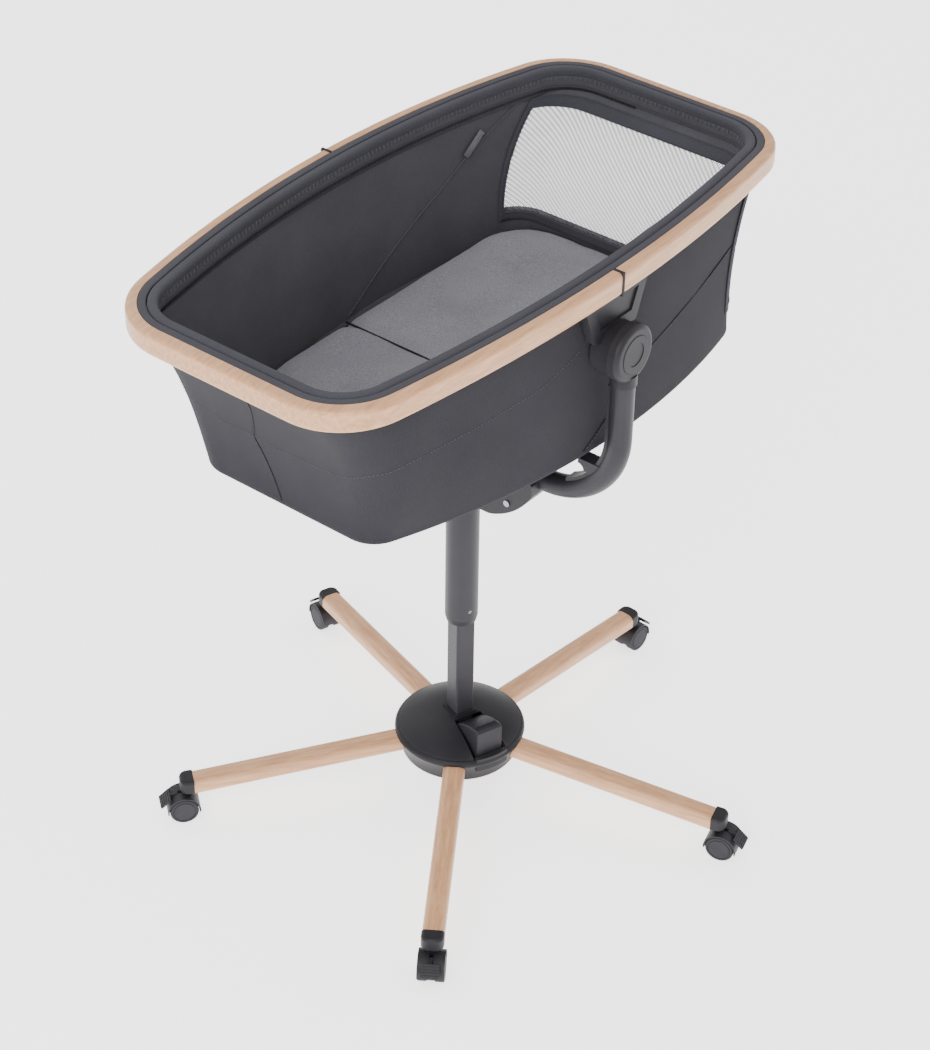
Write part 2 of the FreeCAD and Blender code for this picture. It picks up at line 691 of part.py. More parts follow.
def make_gas_spring():
    """Gas spring inside the column: cylinder on the base, rod on the saddle."""
    body = rod(gas_cylinder_radius, V(0, 0, gas_low), V(0, 0, gas_top))
    bore = rod(gas_cylinder_radius - gas_cylinder_wall, V(0, 0, gas_low + 6.0), V(0, 0, gas_top - 4.0))
    gland = rod(gas_rod_radius + running, V(0, 0, gas_top - 5.0), V(0, 0, gas_top + 1.0))
    valve = rod(2.0, V(0, 0, gas_low - 5.0), V(0, 0, gas_low))
    save("gas_cylinder", body.cut(bore).cut(gland).fuse(valve).removeSplitter())
    rod_low = gas_top - lift_rise - 46.0
    piston = rod(gas_cylinder_radius - gas_cylinder_wall - slide_fit, V(0, 0, rod_low), V(0, 0, rod_low + 6.0))
    stem = rod(gas_rod_radius, V(0, 0, rod_low), V(0, 0, lift_tube_top + 1.5))
    save("gas_rod", piston.fuse(stem).removeSplitter())


def column_screw(side):
    """Short screw through the socket's wall into the column, in the pedal's frame."""
    height = column_foot + 10.0
    return rod(2.0, V(0, side * (column_half - column_wall), height),
               V(0, side * (column_half + loose + socket_wall), height))


# ---------------------------------------------------------------- base hub
def revolved(edges):
    face = Part.Face(Part.Wire(edges))
    return face.revolve(V(0, 0, 0), Z_AXIS, 360.0)


def make_hub_body():
    """Side wall of the base hub, with leg openings and a sill in front of the pedal."""
    edge = cover_edge_height - 0.5
    ledge = edge - 2.7
    shoulder = edge - 8.0
    points = [V(base_hub_bottom_radius, 0, base_hub_bottom), V(base_hub_radius, 0, shoulder),
              V(cover_radius + loose, 0, edge), V(cover_radius + loose, 0, ledge),
              V(cover_radius - 4.0, 0, ledge), V(cover_radius - 4.0, 0, ledge - 2.5),
              V(base_hub_radius - base_wall - 1.0, 0, ledge - 5.5),
              V(base_hub_bottom_radius - base_wall, 0, base_hub_bottom)]
    bend = V(base_hub_bottom_radius + 3.2, 0, (base_hub_bottom + shoulder) / 2)
    roll = V(base_hub_radius - 0.9, 0, shoulder + 5.0)
    edges = [arc(points[0], bend, points[1]), arc(points[1], roll, points[2])]
    for i in range(2, len(points)):
        edges.append(line(points[i], points[(i + 1) % len(points)]))
    body = revolved(edges)
    sill = box(pedal_front + 1.6, base_hub_radius, -pocket_half_inner - 3.5, pocket_half_inner + 3.5,
               base_hub_bottom + 20.0, cover_edge_height + 2.0)
    limit = rod(base_hub_radius - 1.0, V(0, 0, base_hub_bottom), V(0, 0, cover_top_height))
    body = body.fuse(turned(sill.common(limit), pedal_angle)).removeSplitter()
    for angle in leg_angles:
        body = body.cut(turned(leg_bar(base_hub_radius + 10.0, 0.5), angle))
    save("hub_body", body)


def make_hub_cover():
    """Domed cover with a square collar for the column and a pocket for the pedal."""
    thick = base_wall - 0.5
    low = cover_edge_height - 3.0
    collar_half = column_half + 4.2
    rise = cover_top_height - cover_edge_height
    dome_radius = (cover_radius ** 2 + rise ** 2) / (2 * rise)
    halfway = cover_radius / 2
    dome_middle = V(halfway, 0, cover_top_height - dome_radius + math.sqrt(dome_radius ** 2 - halfway ** 2))
    edges = []
    edges.append(line(V(0, 0, cover_top_height - thick), V(0, 0, cover_top_height)))
    edges.append(arc(V(0, 0, cover_top_height), dome_middle, V(cover_radius, 0, cover_edge_height)))
    edges.append(line(V(cover_radius, 0, cover_edge_height), V(cover_radius, 0, low)))
    edges.append(line(V(cover_radius, 0, low), V(cover_radius - thick, 0, low)))
    edges.append(arc(V(cover_radius - thick, 0, low), dome_middle - V(0, 0, thick),
                     V(0, 0, cover_top_height - thick)))
    dome = revolved(edges)
    collar = rounded_square(collar_half, 3.5, cover_top_height - 5.0, cover_top_height + 1.4)
    cover = dome.fuse(collar).removeSplitter()
    cover = cover.cut(rounded_square(column_half + loose, column_corner, 0.0, cover_top_height + 10.0))
    start = column_half + 5.5
    pocket = [V(start, -pocket_half_inner, 0), V(base_hub_radius + 5.0, -pocket_half_outer, 0),
              V(base_hub_radius + 5.0, pocket_half_outer, 0), V(start, pocket_half_inner, 0)]
    cut = prism([p + V(0, 0, cover_edge_height) for p in pocket], 60.0, Z_AXIS)
    save("hub_cover", cover.cut(turned(cut, pedal_angle)))


def make_hub_bottom():
    plate = rod(base_hub_bottom_radius - base_wall - loose, V(0, 0, base_hub_bottom),
                V(0, 0, base_hub_bottom + base_wall))
    save("hub_bottom", plate)


def make_spider():
    """Steel plate with a square socket for the column and a tongue for each leg."""
    spider = rod(spider_hub_radius, V(0, 0, spider_bottom), V(0, 0, spider_bottom + spider_plate))
    half = column_half + loose + socket_wall
    socket_top = column_foot + 17.0
    spider = spider.fuse(rounded_square(half, 4.0, spider_bottom + spider_plate - 1.0, socket_top))
    for angle in leg_angles:
        post = box(spider_hub_radius - 8.0, spider_hub_radius, -tongue_width / 2, tongue_width / 2,
                   spider_bottom, tongue_top(spider_hub_radius - 6.0))
        spider = spider.fuse(turned(post, angle)).fuse(turned(tongue(0.0), angle))
    spider = spider.cut(rounded_square(column_half + loose, column_corner, column_foot, socket_top + 1.0))
    spider = spider.cut(rounded_square(column_half - 1.0, 2.0, spider_bottom + spider_plate, column_foot + 1.0))
    slot = box(0, half + 2.0, -5.0, 5.0, spider_bottom + spider_plate, column_foot + 6.0)
    spider = spider.cut(turned(slot, pedal_angle))
    for side in (-1, 1):
        spider = spider.cut(turned(column_screw(side), pedal_angle))
    for angle in leg_angles:
        for place in leg_screw_places():
            spider = spider.cut(turned(leg_screw(place), angle))
    save("leg_spider", spider.removeSplitter())


def leg_axis_height(out):
    """Height of the middle of a leg at a distance from the column's axis."""
    return leg_top_hub - leg_height / 2 - leg_slope * (out - base_hub_radius)


def tongue_top(out):
    return leg_axis_height(out) + tongue_height / 2


def sloped_bar(start, length, half_width, half_height, corner):
    """Bar that slopes with the legs and has upright ends, drawn along +X."""
    middle = leg_axis_height(start)
    bar = box(start, start + 1.0, -half_width, half_width, middle - half_height, middle + half_height)
    face = [f for f in bar.Faces if f.CenterOfMass.x < start + 0.1][0]
    solid = face.extrude(V(length, 0, -length * leg_slope))
    if corner > 0:
        long_edges = [e for e in solid.Edges if e.BoundBox.XLength > length - 1.0]
        solid = solid.makeFillet(corner, long_edges)
    return solid


def leg_bar(end, grow):
    """Outside of a leg from inside the hub to end, grown by a clearance."""
    return sloped_bar(leg_inner_radius, end - leg_inner_radius, leg_width / 2 + grow,
                      leg_height / 2 + grow, leg_corner + grow)


def tongue(grow):
    """Steel tongue of the spider inside the leg."""
    return sloped_bar(spider_hub_radius - 6.0, tongue_length, tongue_width / 2 + grow,
                      tongue_height / 2 + grow, 0.0)


def leg_screw_places():
    inside = leg_inner_radius + 8.0
    return (inside, inside + 30.0)


def leg_screw(place):
    """Screw up through the leg's underside into the tongue."""
    low = leg_axis_height(place) - leg_height / 2
    top = tongue_top(place) - 1.0
    head = rod(4.5, V(place, 0, low + 1.0), V(place, 0, low + 4.0))
    return head.fuse(rod(2.5, V(place, 0, low + 3.0), V(place, 0, top))).removeSplitter()


def cap_spigot(grow):
    """Spigot of the end cap inside the leg."""
    length = 24.0
    return sloped_bar(leg_end_radius - length, length + 4.0, tongue_width / 2 + grow,
                      tongue_height / 2 + grow, 0.0)


def make_legs():
    leg = leg_bar(leg_end_radius, 0.0).cut(tongue(0.2)).cut(cap_spigot(0.2))
    for place in leg_screw_places():
        low = leg_axis_height(place) - leg_height / 2
        well = rod(4.5, V(place, 0, low - 2.0), V(place, 0, low + 4.0))
        leg = leg.cut(well).cut(leg_screw(place))
    for number, angle in enumerate(leg_angles, 1):
        save("leg_%d" % number, turned(leg, angle))


def make_base_screws():
    pieces = []
    for angle in leg_angles:
        for place in leg_screw_places():
            pieces.append(turned(leg_screw(place), angle))
    for side in (-1, 1):
        pieces.append(turned(column_screw(side), pedal_angle))
    save("base_screws", Part.makeCompound(pieces))


def make_leg_caps():
    """Dark end caps that close the legs and carry the casters' stems."""
    end = leg_end_radius
    top = leg_top_outer + 0.4
    half = leg_width / 2 + 0.3
    body = box(end, end + cap_length, -half, half, cap_low, top)
    upright = [e for e in body.Edges if e.BoundBox.ZLength > 5.0 and e.BoundBox.XMin > end + 1.0]
    body = body.makeFillet(11.0, upright)
    crown = [e for e in body.Edges if e.BoundBox.ZMin > top - 0.1 and e.BoundBox.XMax > end + 1.0]
    body = body.makeFillet(5.0, crown)
    foot = [e for e in body.Edges if e.BoundBox.ZMax < cap_low + 0.1 and e.BoundBox.XMax > end + 1.0]
    body = body.makeFillet(3.5, foot)
    neck_low = hood_top + 1.0
    neck = Part.makeCone(stem_radius + 1.2, stem_radius + 1.8, cap_low - neck_low + 1.0,
                         V(caster_axis_radius, 0, neck_low))
    cap = body.fuse(neck).fuse(cap_spigot(0.0)).removeSplitter()
    cap = cap.cut(rod(stem_radius + running, V(caster_axis_radius, 0, neck_low - 1.0),
                      V(caster_axis_radius, 0, stem_top + 0.5)))
    caps = [turned(cap, angle) for angle in leg_angles]
    save("leg_caps", Part.makeCompound(caps))


# ---------------------------------------------------------------- foot pedal
def pedal_outline(shrink, low_extra):
    """Side view of the pedal, drawn in the XZ plane, moved inwards by shrink."""
    front = pedal_front - shrink
    step = pedal_front - pedal_front_depth + shrink
    rise = V(pedal_rear + 26.0, 0, pedal_rear_top + 14.5 - shrink)
    points = [V(pedal_rear + shrink, 0, pedal_underside - low_extra),
              V(pedal_rear + shrink, 0, pedal_rear_top - 1.0 - shrink),
              V(front - 3.0, 0, pedal_front_top - shrink),
              V(front, 0, pedal_front_top - 4.0 - shrink),
              V(front, 0, pedal_front_low - low_extra),
              V(step, 0, pedal_front_low - low_extra),
              V(step, 0, pedal_underside - low_extra)]
    edges = [line(points[0], points[1]), arc(points[1], rise, points[2])]
    for i in range(2, len(points)):
        edges.append(line(points[i], points[(i + 1) % len(points)]))
    return Part.Face(Part.Wire(edges))


def make_pedal():
    """Hollow foot pedal with ribs along its front edge."""
    outer = pedal_outline(0.0, 0.0).extrude(V(0, 2 * pedal_half_width, 0))
    outer.translate(V(0, -pedal_half_width, 0))
    top_edges = [e for e in outer.Edges if e.BoundBox.YLength < 0.1
                 and e.BoundBox.ZMin > pedal_underside + 12.0 and e.BoundBox.XLength > 2.0]
    outer = outer.makeFillet(2.0, top_edges)
    inner_half = pedal_half_width - pedal_wall
    inner = pedal_outline(pedal_wall, 20.0).extrude(V(0, 2 * inner_half, 0))
    inner.translate(V(0, -inner_half, 0))
    pedal = outer.cut(inner)
    bore = rod(pedal_pin_radius + running, V(pedal_pivot_out, -40.0, pedal_pivot_height),
               V(pedal_pivot_out, 40.0, pedal_pivot_height))
    pedal = pedal.cut(bore)
    for i in range(rib_count):
        x = pedal_front - 5.0 - i * 3.4
        z = pedal_front_top - 0.2 - 0.5 * i
        rib = rod(0.8, V(x, -inner_half + 1.0, z), V(x, inner_half - 1.0, z))
        pedal = pedal.fuse(rib)
    save("foot_pedal", turned(pedal.removeSplitter(), pedal_angle))


def make_release_arm():
    """Steel arm on the pedal that presses the gas spring's valve."""
    out = pedal_pivot_out
    height = pedal_pivot_height
    low = spider_bottom + spider_plate + 3.5
    elbow = column_half + 10.0
    points = [V(out - 5.0, 0, height + 4.0), V(out + 6.0, 0, height + 4.0),
              V(elbow + 4.0, 0, low - 1.5), V(-5.0, 0, low - 1.5),
              V(-5.0, 0, low + 3.5), V(elbow - 3.0, 0, low + 3.5)]
    arm = prism(points, 4.0, Y_AXIS)
    arm = arm.cut(rod(pedal_pin_radius + running, V(out, -40.0, height), V(out, 40.0, height)))
    save("release_arm", turned(arm, pedal_angle))


def make_pedal_bracket():
    """Steel bracket with two ears that carries the pedal's pin."""
    low = spider_bottom + spider_plate
    ear_in = pedal_half_width - pedal_wall - loose - 2.5
    ear_out = pedal_half_width - pedal_wall - loose
    back = pedal_pivot_out - 5.0
    front = pedal_pivot_out + 7.0
    bracket = box(back, front, -ear_out, ear_out, low, low + 2.5)
    bracket = bracket.cut(box(back - 1.0, front - 2.5, -3.5, 3.5, low - 1.0, low + 3.0))
    for side in (-1, 1):
        y = sorted((side * ear_in, side * ear_out))
        ear = box(back, front - 2.0, y[0], y[1], low, pedal_pivot_height)
        tip = rod(pedal_pin_radius + 2.0, V(pedal_pivot_out, y[0], pedal_pivot_height),
                  V(pedal_pivot_out, y[1], pedal_pivot_height))
        bracket = bracket.fuse(ear).fuse(tip)
    bracket = bracket.cut(rod(pedal_pin_radius, V(pedal_pivot_out, -40.0, pedal_pivot_height),
                              V(pedal_pivot_out, 40.0, pedal_pivot_height)))
    save("pedal_bracket", turned(bracket.removeSplitter(), pedal_angle))
    reach = pedal_half_width - 0.5
    pin = rod(pedal_pin_radius, V(pedal_pivot_out, -reach, pedal_pivot_height),
              V(pedal_pivot_out, reach, pedal_pivot_height))
    save("pedal_pin", turned(pin, pedal_angle))


def make_pedal_spring():
    """Torsion spring wound round the pedal's pin."""
    wire = 0.7
    coil = pedal_pin_radius + wire + 0.4
    helix = Part.makeHelix(2.0, 7.0, coil)
    circle = Part.Circle(V(coil, 0, 0), V(0, 1, 0), wire).toShape()
    spring = Part.Wire(helix.Edges).makePipeShell([Part.Wire([circle])], True, True)
    spring.rotate(V(0, 0, 0), V(1, 0, 0), 90.0)
    spring.translate(V(pedal_pivot_out, -3.2, pedal_pivot_height))
    save("pedal_spring", turned(spring, pedal_angle))


# ---------------------------------------------------------------- casters
def make_caster(number, angle):
    """One caster: fork with its stem, twin wheels on their axle, and brake pedal."""
    axle = V(caster_trail, 0, wheel_radius)

    def across(radius, centre, y0, y1):
        return rod(radius, V(centre.x, y0, centre.z), V(centre.x, y1, centre.z))

    def placed(shape):
        shape.translate(V(caster_axis_radius, 0, 0))
        return turned(shape, angle)

    half = wheel_half_width
    low_cut = box(-60.0, 80.0, -60.0, 60.0, -60.0, wheel_radius - 3.0)
    hood = across(hood_outer, axle, -half, half).cut(across(hood_inner, axle, -half - 1.0, half + 1.0))
    hood = hood.cut(low_cut)
    web_half = wheel_gap / 2 - 0.4
    web = across(hood_inner + 0.5, axle, -web_half, web_half)
    web = web.cut(box(-60.0, 80.0, -60.0, 60.0, -60.0, wheel_radius - 5.0))
    fork = hood.fuse(web)
    boss = rod(stem_radius + 1.2, V(0, 0, hood_top - 6.0), V(0, 0, hood_top + 0.6))
    boss = boss.cut(across(hood_inner, axle, -half, half))
    stem = rod(stem_radius, V(0, 0, hood_top - 2.0), V(0, 0, stem_top))
    fork = fork.fuse(boss).fuse(stem)
    pivot = axle + V(brake_pivot_out, 0, brake_pivot_rise)
    slot = box(pivot.x - 5.0, 60.0, -brake_slot / 2, brake_slot / 2, pivot.z - 6.5, hood_top + 8.0)
    fork = fork.cut(slot)
    fork = fork.cut(across(axle_radius + running, axle, -40.0, 40.0))
    pin = across(1.5, pivot, -web_half, web_half)
    fork = fork.fuse(pin).removeSplitter()
    save("caster_fork_%d" % number, placed(fork))

    shaft = across(axle_radius, axle, -half + 3.0, half - 3.0)
    wheels = shaft
    for side in (-1, 1):
        inner = side * wheel_gap / 2
        outer = side * half
        wheel = across(wheel_radius, axle, *sorted((inner, outer)))
        wheel = wheel.makeFillet(2.0, [e for e in wheel.Edges if e.Length > 50.0])
        groove = across(wheel_radius - 4.0, axle, *sorted((outer - side * 0.9, outer + side)))
        groove = groove.cut(across(wheel_radius - 5.0, axle, *sorted((outer - side * 2.0, outer + side))))
        wheels = wheels.fuse(wheel.cut(groove))
    save("caster_wheels_%d" % number, placed(wheels.removeSplitter()))

    arm_half = brake_slot / 2 - 0.4
    place = math.radians(brake_plate_place)
    slope = math.radians(brake_plate_slope)
    plate_start = axle + V(math.cos(place), 0, math.sin(place)) * (hood_outer + brake_plate_stand)
    plate_end = plate_start + V(math.cos(slope), 0, math.sin(slope)) * brake_plate_length
    across_plate = V(math.sin(slope), 0, -math.cos(slope)) * brake_plate_thickness
    plate = prism([plate_start, plate_end, plate_end + across_plate, plate_start + across_plate],
                  brake_plate_width, Y_AXIS)
    for i in range(4):
        share = 0.2 + 0.2 * i
        spot = plate_start + (plate_end - plate_start) * share
        rib = rod(0.6, V(spot.x, -brake_plate_width / 2 + 2.0, spot.z),
                  V(spot.x, brake_plate_width / 2 - 2.0, spot.z))
        plate = plate.fuse(rib)
    arm = prism([V(pivot.x - 3.0, 0, pivot.z - 3.0), V(pivot.x + 5.0, 0, pivot.z - 3.0),
                 V(plate_start.x + 3.0, 0, plate_start.z - 6.5), plate_start + V(0.5, 0, -0.4),
                 V(pivot.x + 2.0, 0, pivot.z + 6.5), V(pivot.x - 3.0, 0, pivot.z + 3.0)],
                2 * arm_half, Y_AXIS)
    brake = plate.fuse(arm).cut(across(1.5 + running, pivot, -20.0, 20.0))
    save("caster_brake_%d" % number, placed(brake.removeSplitter()))


# ---------------------------------------------------------------- build everything
make_wood()
make_rim_channel()
make_rim_trim()
make_basket()
make_liner()
make_board_and_mattress()
make_bracket()
make_hub_housing()
make_button()
make_pivot_pins()
make_yoke()
make_arm_covers()
make_saddle()
make_lift_screws()
make_lift_tube()
make_tube_bush()
make_column()
make_gas_spring()
make_hub_body()
make_hub_cover()
make_hub_bottom()
make_spider()
make_legs()
make_base_screws()
make_leg_caps()
make_pedal()
make_release_arm()
make_pedal_bracket()
make_pedal_spring()
for index, leg_angle in enumerate(leg_angles, 1):
    make_caster(index, leg_angle)
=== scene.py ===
"""Looks of the bassinet on its stand: fabric basket, trims, mattress, materials, light and camera.

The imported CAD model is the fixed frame.  Soft pieces are built here, in metres, in the same frame.
"""
import math
import bpy
import numpy as np
from mathutils import Matrix, Vector, noise


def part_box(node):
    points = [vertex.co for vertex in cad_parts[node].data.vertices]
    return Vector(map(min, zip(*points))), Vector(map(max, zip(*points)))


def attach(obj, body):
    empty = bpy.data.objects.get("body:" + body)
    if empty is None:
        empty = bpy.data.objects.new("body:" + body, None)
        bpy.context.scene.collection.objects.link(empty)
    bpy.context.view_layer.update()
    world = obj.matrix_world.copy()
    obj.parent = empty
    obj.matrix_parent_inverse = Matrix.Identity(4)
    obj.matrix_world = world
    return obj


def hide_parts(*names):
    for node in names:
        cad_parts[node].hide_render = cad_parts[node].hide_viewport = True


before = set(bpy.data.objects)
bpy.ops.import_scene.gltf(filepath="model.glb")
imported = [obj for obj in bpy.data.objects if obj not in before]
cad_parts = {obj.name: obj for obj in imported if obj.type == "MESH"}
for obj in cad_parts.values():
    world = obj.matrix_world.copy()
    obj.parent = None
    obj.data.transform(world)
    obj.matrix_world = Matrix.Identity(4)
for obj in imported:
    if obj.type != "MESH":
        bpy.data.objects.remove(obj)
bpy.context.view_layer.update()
MM = 0.001

# ---------------------------------------------------------------- sizes from the frame
WOOD = 14 * MM
rim_low, rim_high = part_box("wood_rim_head")
RIM_LENGTH = rim_high.x - WOOD            # half sizes of the rim line, the wooden band's inner edge
RIM_WIDTH = rim_high.y - WOOD
RIM_TOP = rim_high.z
RIM_BOW = 1831 * MM
RIM_CORNER = 84 * MM
DROOP_RADIUS = 10.0                       # the rim bends down towards both ends
shell_low, shell_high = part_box("basket_shell")
FLOOR_OF_BASKET = shell_low.z
FABRIC_TOP = 28.5 * MM                    # below the rim's top
HEAD_TUCK = 12 * MM                       # the head wall is drawn in at its waist
mattress_low, mattress_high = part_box("mattress")
PAD_LENGTH, PAD_WIDTH = mattress_high.x, mattress_high.y       # half sizes

# shape of the wall, in millimetres, and how it changes from the rim down to the floor
WALL_INSET, WALL_SWELL = 8, 3
WALL_CORNER, CORNER_CHANGE = 76, 32
WALL_BOW, BOW_CHANGE = 1823, 787
BOW_SHIFT = 70
END_LEAN, END_CURL = 153.6, 75.6

LEAST_CORNER = 20 * MM
LINING_INSET = 7.5 * MM
FOOT_ROUND, FOOT_STEPS = 8 * MM, 5
FLOOR_CENTRE = 0.03
FLOOR_SHARES = (0.85, 0.6, 0.35, 0.12, 0.01)

# points round half of a ring
END_POINTS, CORNER_POINTS, SIDE_POINTS = 10, 16, 76
HALF = 2 * END_POINTS + 2 * CORNER_POINTS + SIDE_POINTS
COUNT = 2 * HALF


# ---------------------------------------------------------------- materials
def color(code):
    """Linear colour of a hex code."""
    parts = [int(code[i:i + 2], 16) / 255 for i in (0, 2, 4)]
    return [c / 12.92 if c < 0.04045 else ((c + 0.055) / 1.055) ** 2.4 for c in parts] + [1.0]


class Shader:
    """Small builder for a node material around one Principled BSDF."""

    def __init__(self, name, rough=0.6, **sockets):
        self.material = bpy.data.materials.new(name)
        self.material.use_nodes = True
        self.tree = self.material.node_tree
        self.bsdf = self.tree.nodes["Principled BSDF"]
        self.bsdf.inputs["Roughness"].default_value = rough
        for key, value in sockets.items():
            self.bsdf.inputs[key.replace("_", " ")].default_value = value

    def node(self, kind, inputs=(), **settings):
        made = self.tree.nodes.new("ShaderNode" + kind)
        for key, value in settings.items():
            setattr(made, key, value)
        for key, value in dict(inputs).items():
            if isinstance(value, bpy.types.NodeSocket):
                self.tree.links.new(value, made.inputs[key])
            else:
                made.inputs[key].default_value = value
        return made

    def coords(self, kind="Object", scale=(1, 1, 1), rotation=(0, 0, 0)):
        source = self.node("TexCoord").outputs[kind]
        return self.node("Mapping", {"Vector": source, "Scale": scale, "Rotation": rotation}).outputs[0]

    def noise(self, coords, scale, detail=4.0, rough=0.6):
        return self.node("TexNoise", {"Vector": coords, "Scale": scale, "Detail": detail,
                                      "Roughness": rough}).outputs["Fac"]

    def ramp(self, factor, low, high, start=0.3, end=0.7):
        made = self.node("ValToRGB", {"Fac": factor})
        made.color_ramp.elements[0].color = low
        made.color_ramp.elements[0].position = start
        made.color_ramp.elements[1].color = high
        made.color_ramp.elements[1].position = end
        return made.outputs[0]

    def math(self, operation, a, b, c=0.0):
        return self.node("Math", {0: a, 1: b, 2: c}, operation=operation).outputs[0]

    def mix(self, factor, a, b, blend="MIX"):
        made = self.node("Mix", {"Factor": factor, 6: a, 7: b}, data_type="RGBA", blend_type=blend)
        return made.outputs[2]

    def paint(self, colour):
        self.tree.links.new(colour, self.bsdf.inputs["Base Color"])

    def roughness(self, value):
        self.tree.links.new(value, self.bsdf.inputs["Roughness"])

    def bump(self, height, strength, distance):
        made = self.node("Bump", {"Height": height, "Strength": strength, "Distance": distance})
        self.tree.links.new(made.outputs[0], self.bsdf.inputs["Normal"])


def wood(name, angle):
    """Pale beech, its grain along a direction in plan."""
    s = Shader(name, 0.42, Coat_Weight=0.15, Coat_Roughness=0.3)
    turn = (0, 0, -math.radians(angle))
    straight = s.coords(rotation=turn)
    along = s.node("Mapping", {"Vector": straight, "Scale": (1.6, 26, 26)}).outputs[0]
    flecks = s.node("Mapping", {"Vector": straight, "Scale": (60, 700, 700)}).outputs[0]
    grain = s.noise(along, 7.0, 8.0, 0.62)
    pores = s.noise(flecks, 1.0, 2.0, 0.5)
    base = s.ramp(grain, color("BA8860"), color("D6A87E"), 0.32, 0.66)
    fine = s.ramp(pores, color("B07F58"), color("EFD6BC"), 0.30, 0.52)
    s.paint(s.mix(0.22, base, fine, "MULTIPLY"))
    s.roughness(s.math("MULTIPLY_ADD", grain, 0.25, 0.28))
    s.bump(s.math("ADD", grain, pores), 0.12, 0.0004)
    return s.material


def moulded(name, code, rough=0.55, grain=1600.0, strength=0.25):
    """Moulded plastic or powder coat with a fine grain and a painted highlight along its convex edges."""
    s = Shader(name, rough, Specular_IOR_Level=0.2)
    fine = s.noise(s.coords(), grain, 2.0, 0.5)
    broad = s.noise(s.coords(), 14.0, 3.0, 0.5)
    base = color(code)
    light = [min(1.0, c * 1.28 + 0.004) for c in base[:3]] + [1.0]
    dark = [c * 0.86 for c in base[:3]] + [1.0]
    body = s.ramp(broad, dark, light, 0.25, 0.8)
    # painted highlight: convex edges, found by pointiness, are mixed towards a paler colour
    edge = s.node("NewGeometry").outputs["Pointiness"]
    edge_highlight = s.ramp(edge, (0, 0, 0, 1), (1, 1, 1, 1), 0.53, 0.6)
    highlight_colour = [min(1.0, c * 2.0 + 0.01) for c in base[:3]] + [1.0]
    s.paint(s.mix(s.math("MULTIPLY", edge_highlight, 0.35), body, highlight_colour))
    s.roughness(s.math("MULTIPLY_ADD", fine, 0.18, rough - 0.09))
    s.bump(fine, strength, 0.0002)
    return s.material


def metal(name, code, rough):
    """Metal with faint drawing lines and a patchy gloss."""
    s = Shader(name, rough, Metallic=1.0)
    lines = s.noise(s.coords(scale=(900, 900, 30)), 1.0, 2.0, 0.6)
    patches = s.noise(s.coords(), 40.0, 3.0, 0.5)
    base = color(code)
    s.paint(s.ramp(patches, [c * 0.8 for c in base[:3]] + [1], base, 0.3, 0.7))
    s.roughness(s.math("MULTIPLY_ADD", patches, 0.2, rough - 0.1))
    s.bump(lines, 0.12, 0.0002)
    return s.material


WAVE_TURN = 20                            # radians that a wave texture turns in one unit


def cloth(name, dark, light, thread=1.5, sheen=0.25, kind="UV", lumps=1.0):
    """Woven or knitted fabric: threads both ways, mottled yarn and soft lumps."""
    s = Shader(name, 0.92, Sheen_Weight=sheen, Sheen_Roughness=0.5, Specular_IOR_Level=0.1)
    place = s.coords(kind)
    pitch = math.pi * 2 / (thread * MM) / WAVE_TURN
    waves = []
    for direction in ("X", "Y"):
        waves.append(s.node("TexWave", {"Vector": place, "Scale": pitch, "Distortion": 0.6,
                                        "Detail Scale": 3.0}, bands_direction=direction).outputs["Fac"])
    weave = s.math("MULTIPLY", waves[0], waves[1])
    yarn = s.noise(s.coords(kind, scale=(1.0, 2.2, 1.6)), 520.0, 3.0, 0.65)
    broad = s.noise(place, 9.0, 4.0, 0.55)
    mottled = s.ramp(yarn, color(dark), color(light), 0.32, 0.68)
    shade = s.ramp(broad, (0.86, 0.86, 0.87, 1), (1.08, 1.08, 1.07, 1), 0.3, 0.7)
    s.paint(s.mix(1.0, mottled, shade, "MULTIPLY"))
    height = s.math("ADD", s.math("MULTIPLY", weave, 0.6), s.math("MULTIPLY", yarn, 0.5))
    height = s.math("ADD", height, s.math("MULTIPLY", broad, 1.6 * lumps))
    s.bump(height, 0.55, 0.0007)
    return s.material


def net(name):
    """Open net: fine diagonal charcoal threads with clear gaps between them."""
    s = Shader(name, 0.8, Sheen_Weight=0.2)
    place = s.coords("UV", rotation=(0, 0, math.radians(38)))
    waves = [s.node("TexWave", {"Vector": place, "Scale": scale, "Distortion": 0.4}, bands_direction=d)
             .outputs["Fac"] for d, scale in (("X", 112.0), ("Y", 60.0))]
    threads = s.math("MAXIMUM", waves[0], s.math("MULTIPLY", waves[1], 0.75))
    mottle = s.noise(place, 60.0, 3.0, 0.5)
    s.paint(s.ramp(mottle, color("5E5C64"), color("86848C"), 0.3, 0.7))
    cover = s.node("MapRange", {"Value": threads, 1: 0.3, 2: 0.85, 3: 0.30, 4: 0.92}).outputs[0]
    s.tree.links.new(cover, s.bsdf.inputs["Alpha"])
    s.bump(threads, 0.3, 0.0004)
    return s.material


BEECH = {}


def beech(angle):
    """Beech with its grain along an angle in plan, made once for each whole degree."""
    key = round(angle) % 180
    if key not in BEECH:
        BEECH[key] = wood("beech_%d" % key, key)
    return BEECH[key]


